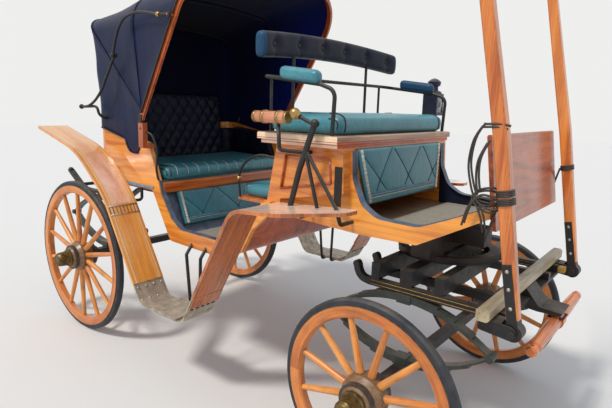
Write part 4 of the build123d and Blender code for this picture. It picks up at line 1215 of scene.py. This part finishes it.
def make_backrest():
    """Bowed backrest with a row of buttons on both faces, in the navy copy of the leather as painted shade,
    with lighter blue ends as painted light.
    """
    half, bow, arch, button_z = 0.600, 0.042, 0.031, 1.803
    build = soft_block((-0.025, -half, 1.742), (0.025, half, 1.859), 0.012, 0.020)
    buttons = [-0.5 + 0.2 * k for k in range(6)]
    for vertex in build.verts:
        y, z = vertex.co.y, vertex.co.z
        full = 1 + 0.32 * (1 - ((z - 1.801) / 0.061) ** 2)
        depth = 0.0
        for middle in buttons:
            depth += 0.019 * exp(-((y - middle) / 0.026) ** 2 - ((z - button_z) / 0.022) ** 2)
            depth += 0.005 * exp(-((y - middle) / 0.006) ** 2)
        face_side = 1 if vertex.co.x > 0 else -1
        vertex.co.x = vertex.co.x * full - face_side * depth * min(1.0, abs(vertex.co.x) / 0.02)
    for middle in buttons:
        for face_side in (-1, 1):
            add_ball(build, Vector((face_side * 0.0155, middle, button_z)), 0.0095, 1, 0.5, lengthwise, 6)
    for vertex in build.verts:
        rise = 1 - (vertex.co.y / half) ** 2
        vertex.co += Vector((rear_axle_x + 1.546 - bow * rise, 0, arch * rise - 0.011))
    for face in build.faces:
        face.smooth = True
        # Painted light: the ends take the lighter blue copy where light falls on them, the rest keeps the
        # navy painted shade
        if abs(face.calc_center_median().y) > 0.578 and face.material_index == 0:
            face.material_index = 2
    new_pad("driver_backrest", build, ["navy leather", "strap leather", "blue leather"],
            "driver_pads")


def make_driver_seat():
    edges = (-0.512, -0.470, 0.470, 0.512)
    make_cushion("driver_cushion", "driver_seat_cushion", at(1.534, -0.529, 1.4035), at(1.953, 0.529, 1.486),
                 cell=0.030, round_off=0.030, pressure=3.0, cap=0.010,
                 stuffs=["teal leather", "strap leather"],
                 piping=[(edges, (1.915, 1.445), -50, 140, 0.0034, 1),
                         (edges, (1.575, 1.445), 40, 235, 0.0034, 1)])

    def fall_base(u, v):
        half = 0.425 - 0.065 * v
        return at(1.9735 + 0.026 * v, -half + 2 * half * u, 1.3455 - 0.2565 * v)

    make_fall("driver_seat_fall", "driver_fall", fall_base, facing=Vector((0.995, 0, 0.10)),
              quilt=(0.80, 0.260 * 0.8, 0.29), foot_share=0.82, cells=(110, 40), depth=0.013,
              hem_out=0.012, hems=((0.84, 0.0034, 2), (0.885, 0.0022, 1)),
              edge=(70, 0.011, 0.0090, 13), seam=(0.0104, 0.0020))
    make_arm_pads()
    make_backrest()


def make_child_seat():
    make_cushion("child_cushion", "child_seat_cushion", at(1.097, -0.268, 1.0035), at(1.498, 0.268, 1.073),
                 cell=0.028, round_off=0.028, pressure=2.5, cap=0.007, stuffs=["teal leather", "piping"],
                 piping=[((-0.250, 0.250), (1.130, 1.040), 60, 225, 0.0026, 1)])


# Linings and mats

def make_linings():
    """Rubber on the floor and the edges of the body, leather inside the boot, and two mats."""
    build = bmesh.new()
    under = rounded_line([(0.683, 1.000, 0), (0.800, 0.751, 0.050), (1.352, 0.751, 0.150), (1.490, 0.960, 0)])
    add_ribbon(build, offset_line(under, 0.0095), -inside_half + 0.0008, inside_half - 0.0008, 0.0018)
    boot_curve = [(2.440, 1.112, 0.200), (2.310, 1.058, 0.120), (2.120, 1.062, 0.120), (2.040, 1.110, 0.090)]
    boot_side = rounded_line([(1.990, 1.000, 0), (2.308, 1.006, 0.060), (2.570, 1.155, 0), (2.570, 1.172, 0),
                              *boot_curve, (1.996, 1.215, 0.080), (1.987, 1.335, 0), (1.976, 1.335, 0)])
    boot_top = rounded_line([(2.585, 1.180, 0), *boot_curve, (1.992, 1.215, 0.080), (1.984, 1.338, 0)])
    doorway = rounded_line([(0.7065, 1.090, 0), (0.712, 1.075, 0.060), (0.738, 0.990, 0.060),
                            (0.826, 0.862, 0.050), (0.905, 0.812, 0.060), (1.290, 0.812, 0.090),
                            (1.420, 0.885, 0.080), (1.500, 1.010, 0)])
    for side in (-1, 1):
        add_cut_sheet(build, boot_side, *side_span(side, 0.4455, 0.4478), 1)
        add_ribbon(build, doorway[3:], *side_span(side, inside_half - 0.012, body_half - 0.006), 0.0025)
        add_ribbon(build, boot_top[::-1], *side_span(side, 0.428, 0.4685), 0.003)
    # Painted shade: the leather inside the boot is the navy copy of the teal leather
    new_piece("edge_linings", build, ["lining rubber", "navy leather"], "root")

    for name, low, high, flat, floor in (
            ("floor_mat", at(0.850, -0.530, 0.7605), at(1.335, 0.530, 0.7655), (1.06, 0.485),
             "cut_under_floor"),
            ("boot_mat", at(2.045, -0.440, 1.0005), at(2.290, 0.440, 1.0055), (0.88, 0.245), "boot_floor")):
        build = bmesh.new()
        add_block(build, low, high, 0, 0.0015)
        mat = new_piece(name, build, "mat", "root")


# Bent irons

def add_iron(build, rows, y, radius, sides=10):
    """Adds a round bar through rows of x and z, once on each side."""
    for side in (-1, 1):
        add_cord(build, smooth_line([at(x, side * y, z) for x, z in rows]), radius, sides)


def make_hood_irons():
    lower_rows = [(0.000, 1.480), (0.085, 1.486), (0.171, 1.521), (0.251, 1.582), (0.298, 1.640),
                  (0.343, 1.694), (0.384, 1.744), (0.420, 1.780)]
    upper_rows = [(0.420, 1.780), (0.436, 1.816), (0.458, 1.868), (0.497, 1.929), (0.564, 1.976),
                  (0.670, 1.992), (0.785, 1.980), (0.875, 1.964), (0.960, 1.958)]
    for node, rows, y in (("hood_iron_lower", lower_rows, 0.637), ("hood_iron_upper", upper_rows, 0.652)):
        build = bmesh.new()
        add_iron(build, rows, y, 0.0080, 12)
        for side in (-1, 1):
            for x, z in (rows[0], rows[-1]):
                add_drum(build, at(x, side * y, z), sideways, 0.0150, 0.013, 20)
            if rows is upper_rows:
                add_drum(build, at(0.876, side * y, 1.964), (0.985, 0, -0.17), 0.0125, 0.026, 16, 1)
                add_ball(build, at(0.420, side * (y + 0.007), 1.780), 0.0105, 0, 0.6, sideways, 8)
        body = node.replace("hood_", "")
        bar = new_piece(node + "_bar", build, ["black iron", "brass"], body)
        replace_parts(bar, node)


def make_body_irons():
    """Stubs that carry the hood's irons, and the grab irons beside the entrance."""
    def replaced(low, high):
        return (high.x < 0.30 and high.z > 1.30) or (low.x > 0.55 and high.x < 0.80 and low.z > 1.02)

    # Rows: x, y and z
    stub_rows = [(0.188, 0.557, 1.360), (0.188, 0.557, 1.398), (0.187, 0.574, 1.413), (0.186, 0.600, 1.420),
                 (0.181, 0.620, 1.440), (0.168, 0.6235, 1.472), (0.140, 0.6235, 1.484), (0.085, 0.622, 1.483),
                 (0.000, 0.620, 1.480)]
    grab_rows = [(0.652, 0.600, 1.352), (0.690, 0.590, 1.337), (0.714, 0.586, 1.297), (0.727, 0.585, 1.250),
                 (0.724, 0.583, 1.190), (0.713, 0.580, 1.140), (0.714, 0.574, 1.100), (0.706, 0.562, 1.074)]
    build = trimmed_copy("body_irons", replaced)
    for side in (-1, 1):
        for rows, radius, sides in ((stub_rows, 0.0085, 12), (grab_rows, 0.0065, 10)):
            add_cord(build, smooth_line([at(x, side * y, z) for x, y, z in rows]), radius, sides)
        add_drum(build, at(0.000, side * 0.632, 1.480), sideways, 0.0060, 0.030)
        add_ball(build, at(0.000, side * 0.647, 1.480), 0.0100, 0, 0.6, sideways, 8)
    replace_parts(new_piece("body_iron_bars", build, "black iron", "root"), "body_irons")


def make_frame_bars():
    """Fore-carriage frame, with scrolled rear ends on its long bars."""
    build = trimmed_copy("lower_turntable")
    geometry = build.verts[:] + build.edges[:] + build.faces[:]
    bmesh.ops.bisect_plane(build, geom=geometry, plane_co=at(2.060, 0, 0), plane_no=-lengthwise,
                           clear_outer=True)
    bmesh.ops.holes_fill(build, edges=[edge for edge in build.edges if edge.is_boundary], sides=8)
    scroll_rows = [(1.984, 0.822), (1.990, 0.796), (2.004, 0.771), (2.028, 0.753), (2.059, 0.7465),
                   (2.080, 0.7460)]
    scroll = smooth_line([Vector(row) for row in scroll_rows], 4)
    end = scroll[0]
    tip = (end - scroll[1]).normalized()
    for y in (-0.400, -0.235, 0.235, 0.400):
        add_ribbon(build, scroll, y - 0.0155, y + 0.0155, 0.030)
        add_drum(build, at(end.x + 0.012, y, end.y + 0.004), sideways, 0.0155, 0.032, 16)
        add_ball(build, at(end.x + 0.012, y, end.y + 0.008 * tip.y), 0.0100, 0, 0.5, sideways, 6)
    frame_bars = new_piece("fore_carriage_bars", build, "black iron", "fore_carriage")
    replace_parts(frame_bars, "lower_turntable")


def make_child_arms():
    build = trimmed_copy("child_seat_irons", lambda low, high: high.z > 1.15)
    add_iron(build, [(1.102, 1.108), (1.113, 1.150), (1.146, 1.196), (1.200, 1.233), (1.265, 1.252),
                     (1.330, 1.252), (1.402, 1.240)], 0.298, 0.0072)
    add_iron(build, [(1.102, 1.108), (1.106, 1.060), (1.112, 1.000)], 0.298, 0.0060)
    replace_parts(new_piece("child_seat_arms", build, "black iron", "root"), "child_seat_irons")


# Bolts, bands, straps and other fittings

def make_wing_fittings():
    """Bolts on the steps and ribbed bands on the rear wings."""
    build = bmesh.new()
    slope = Vector((0.857, 0, 0.515))
    for side in (-1, 1):
        for y in (0.640, 0.690, 0.740, 0.790):
            for share in (0.22, 0.84):
                spot = at(0.800 + 0.062 * share, side * y, 0.525 - 0.099 * share) + slope * 0.0055
                add_ball(build, spot, 0.0085, 0, 0.55, slope, 6)
    new_piece("step_bolts", build, "steel", "root")

    build = bmesh.new()
    down, face = Vector((0.5155, 0, -0.8569)), Vector((0.8569, 0, 0.5155))
    for side in (-1, 1):
        start = at(0.560, side * 0.715, 0.9242) + face * 0.0088
        for drop in (0.0, 0.052):
            middle = start + down * drop
            add_cord(build, [middle - sideways * 0.094, middle + sideways * 0.094], 0.0030)
        for k in range(9):
            spot = start + down * 0.026 + sideways * (-0.088 + 0.022 * k)
            add_cord(build, [spot - down * 0.022, spot + down * 0.022], 0.0018, 4, 1)
    new_piece("wing_bands", build, ["steel", "strap leather"], "root")


def make_hood_posts():
    """Posts under the hood's pivots, with their black plates and those of the driver's box."""
    build = bmesh.new()
    add_side_blocks(build, (0.612, 0.657), (body_half + 0.024, body_half + 0.056), (1.262, 1.4045), 0.003)
    add_side_blocks(build, (0.606, 0.659), (inside_half + 0.002, body_half + 0.040), (1.258, 1.283), 0.003)
    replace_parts(new_piece("hood_post_woods", build, "upright wood", "root"), "hood_posts")

    build = bmesh.new()
    add_side_blocks(build, (0.609, 0.660), (body_half + 0.022, body_half + 0.058), (1.4046, 1.4080))
    add_side_blocks(build, (1.936, 1.972), (box_half + 0.0005, box_half + 0.0065), (1.100, 1.272), 0.001)
    for side in (-1, 1):
        leaf_y = side_span(side, body_half + 0.022, body_half + 0.058)[0]
        add_block(build, at(0.620, leaf_y, 1.4080), at(0.650, leaf_y + 0.004, 1.450), 0, 0.001)
        add_ball(build, at(0.636, side * (body_half + 0.056), 1.372), 0.007, 0, 0.5, sideways, 6)
        add_drum(build, at(0.635, side * (body_half + 0.036), 1.430), sideways, 0.0065, 0.040, 16)
    new_piece("black_plates", build, "black iron", "root")


def make_wing_feet():
    """Bars across the feet of the front wings, with their iron cleats."""
    build = bmesh.new()
    slope, under = Vector((0.4962, 0, 0.8682)), Vector((0.8682, 0, -0.4962))
    top = at(1.314, 0, 0.583)
    spots = [top - slope * 0.140 * share + under * 0.0080 for share in (0.0, 0.25, 0.48)]
    line = [Vector((spot.x - rear_axle_x, spot.z)) for spot in spots]
    for side in (-1, 1):
        add_ribbon(build, line, *side_span(side, 0.622, 0.808), 0.0035)
        for k in range(5):
            middle = at(1.314, side * (0.650 + 0.034 * k), 0.583) - slope * 0.080 + under * 0.0086
            add_cord(build, [middle - sideways * 0.008, middle + sideways * 0.008], 0.0036, 6, 1)
    new_piece("front_wing_feet", build, ["wing wood", "black iron"], "root")


def make_body_fittings():
    """Mouldings, brass and the windows of the lamp."""
    build = bmesh.new()
    corners = [(1.622, 1.140), (1.650, 1.300), (1.905, 1.300), (1.914, 1.195), (1.622, 1.140)]
    for side in (-1, 1):
        points = [at(x, side * (box_half + 0.0005), z) for x, z in corners]
        for first, second in zip(points, points[1:]):
            add_cord(build, [first, second], 0.0055, 8)
    new_piece("box_mouldings", build, "red wood", "root")

    build = bmesh.new()
    add_side_blocks(build, (0.155, 0.668), (body_half + 0.0005, body_half + 0.006), (1.018, 1.034), 0.002)
    new_piece("quarter_mouldings", build, "grey piping", "root")

    build = bmesh.new()
    grip_y = -(body_half + 0.052)
    for low, high, radius in ((1.5495, 1.566, 0.0262), (1.6035, 1.6205, 0.0302), (1.6915, 1.7085, 0.0302),
                              (1.7370, 1.7505, 0.0262)):
        add_drum(build, at((low + high) / 2, grip_y, 1.472), lengthwise, radius, high - low, 24)
    add_ball(build, at(1.776, -(body_half + 0.041), 1.490), 0.0252, 0, 1.0, upward, 14)
    add_drum(build, at(1.790, -(body_half + 0.040), 1.483), (0.92, 0, -0.38), 0.014, 0.030, 16)
    for side in (-1, 1):
        add_ball(build, at(1.402, side * 0.298, 1.240), 0.0120, 0, 1.0, upward, 10)
        add_ball(build, at(1.102, side * 0.298, 1.108), 0.0152, 0, 1.0, upward, 10)
    new_piece("brass_fittings", build, "brass", "root")

    build = bmesh.new()
    lamp_x, lamp_y, lamp_z = 1.812, body_half + 0.082, 1.556
    pane_low, pane_high, pane_in, pane_out = 1.509, 1.604, 0.0413, 0.0430
    add_block(build, at(1.779, lamp_y + pane_in, pane_low), at(1.845, lamp_y + pane_out, pane_high))
    for side in (-1, 1):
        first, last = side_span(side, pane_in, pane_out)
        add_block(build, at(lamp_x + first, lamp_y - 0.033, pane_low),
                  at(lamp_x + last, lamp_y + 0.033, pane_high))
        add_drum(build, at(lamp_x + side * 0.0440, lamp_y, lamp_z), lengthwise, 0.0290, 0.0030, 24, 1)
        add_ball(build, at(lamp_x + side * 0.0450, lamp_y, lamp_z), 0.0225, 0, 0.3, lengthwise, 10)
    new_piece("lamp_windows", build, ["lamp glass", "steel"], "root")


shaft_lean = radians(10.8)
shaft_way = Vector((-sin(shaft_lean), 0, cos(shaft_lean)))
shaft_front = Vector((cos(shaft_lean), 0, sin(shaft_lean)))
# Loops and tails of the near strap, each a line through x, distance to the right, and z
strap_rows = [
    [(2.640, 0.452, 1.232), (2.600, 0.490, 1.252), (2.556, 0.504, 1.244), (2.536, 0.505, 1.222),
     (2.556, 0.503, 1.203), (2.600, 0.494, 1.198), (2.646, 0.455, 1.208)],
    [(2.650, 0.452, 1.206), (2.610, 0.500, 1.176), (2.570, 0.508, 1.186), (2.545, 0.509, 1.208),
     (2.566, 0.508, 1.226), (2.610, 0.499, 1.222), (2.650, 0.455, 1.226)],
    [(2.552, 0.505, 1.478), (2.524, 0.506, 1.425), (2.514, 0.507, 1.340), (2.530, 0.507, 1.262),
     (2.546, 0.506, 1.222)],
    [(2.572, 0.500, 1.420), (2.549, 0.508, 1.360), (2.546, 0.509, 1.300), (2.556, 0.508, 1.236)],
    [(2.540, 0.508, 1.215), (2.522, 0.510, 1.170), (2.508, 0.508, 1.115)],
    [(2.560, 0.509, 1.190), (2.577, 0.510, 1.150), (2.587, 0.506, 1.100)],
    [(2.634, 0.490, 1.470), (2.600, 0.500, 1.476), (2.552, 0.505, 1.474)]]


def make_shaft_fittings():
    """Straps round the shafts, and the bolts of their plates."""
    build = bmesh.new()
    for side, height, tails in ((-1, 0.470, True), (-1, 0.500, False), (1, 0.520, True)):
        foot = Vector((shaft_foot.x, side * shaft_y, shaft_foot.z))
        centre = foot + shaft_way * height + shaft_front * 0.011
        band = []
        for k in range(29):
            turn = 2 * pi * k / 28
            square = max(abs(cos(turn)), abs(sin(turn))) ** 0.55
            ahead, beside = shaft_front * cos(turn) * 0.0275, sideways * sin(turn) * 0.0290
            band.append(centre + ahead / square + beside / square)
        for step in (-0.009, -0.003, 0.003, 0.009):
            add_cord(build, [point + shaft_way * step for point in band], 0.0036)
        top = centre - shaft_front * 0.030 - sideways * side * 0.014
        for spread, length in ((-0.010, 0.15), (0.012, 0.11)) if tails else ():
            line = [top + Vector((-0.004 * k, spread * k / 5, -length * k / 8)) for k in range(9)]
            add_cord(build, line, 0.0045)
    for rows in strap_rows:
        for step in (-0.0045, 0.0045):
            line = [at(x, -y, z + step) + shaft_front * step for x, y, z in rows]
            add_cord(build, smooth_line(line), 0.0042)
    new_piece("shaft_straps", build, "strap leather", "shafts")

    build = bmesh.new()
    for side in (-1, 1):
        for height in (0.09, 0.16, 0.225):
            for face_y in (-0.0268, 0.0268):
                foot = Vector((shaft_foot.x, side * shaft_y + face_y, shaft_foot.z))
                add_ball(build, foot + shaft_way * height, 0.0075, 0, 0.5, sideways, 6)
    new_piece("shaft_bolts", build, "steel", "shafts")


def make_fore_carriage_fittings():
    """Stripes along the long bars, their end blocks, and the primed plate of the whippletree."""
    build = bmesh.new()
    for y in (-0.4163, -0.3837, 0.3837, 0.4163):
        for z in (0.7705, 0.7535):
            add_cord(build, [at(2.080 + 0.085 * k, y, z) for k in range(7)], 0.0014, 4)
    new_piece("futchell_stripes", build, "yellow paint", "fore_carriage")
    build = bmesh.new()
    add_side_blocks(build, (2.6685, 2.702), (0.381, 0.419), (0.747, 0.777), 0.004)
    new_piece("futchell_ends", build, "yellow paint", "fore_carriage")
    build = bmesh.new()
    add_block(build, at(2.7335, -0.045, 0.6685), at(2.799, 0.045, 0.6730), 0, 0.002)
    new_piece("whippletree_plate", build, "red primer", "whippletree")


# Floor and light

def make_studio():
    build = bmesh.new()
    bmesh.ops.create_grid(build, x_segments=1, y_segments=1, size=30.0)
    mesh = bpy.data.meshes.new("studio floor")
    build.to_mesh(mesh)
    build.free()
    mesh.materials.append(Finish("studio floor", Roughness=0.85, Base_Color=(0.74, 0.73, 0.71, 1)).material)
    floor = bpy.data.objects.new("studio floor", mesh)
    scene.collection.objects.link(floor)

    scene.world = bpy.data.worlds.new("studio")
    scene.world.use_nodes = True
    sky = Pattern(scene.world.node_tree)
    rays = sky.put("ShaderNodeLightPath", {}).outputs
    seen = sky.calc("MAXIMUM", rays["Is Camera Ray"], rays["Is Transmission Ray"])
    seen = sky.calc("MAXIMUM", seen, rays["Is Glossy Ray"])
    background = sky.tree.nodes["Background"].inputs
    sky.feed(sky.tint(seen, (0.56, 0.60, 0.66, 1), (0.86, 0.86, 0.85, 1)), background["Color"])
    background["Strength"].default_value = 1.0

    sun_data = bpy.data.lights.new("soft key", "SUN")
    sun_data.energy = 2.1
    sun_data.angle = radians(9)
    sun_data.color = (1.0, 0.965, 0.91)
    sun = bpy.data.objects.new("soft key", sun_data)
    sun.rotation_mode = "QUATERNION"
    sun.rotation_quaternion = Vector((-0.15, -0.55, 0.85)).to_track_quat("Z", "Y")
    scene.collection.objects.link(sun)
    scene.view_settings.view_transform = "Standard"


make_camera()
finish_nodes()
make_hood()
make_rear_seat()
make_driver_seat()
make_child_seat()
make_linings()
make_hood_irons()
make_body_irons()
make_frame_bars()
make_child_arms()
make_wing_fittings()
make_hood_posts()
make_wing_feet()
make_body_fittings()
make_shaft_fittings()
make_fore_carriage_fittings()
make_studio()
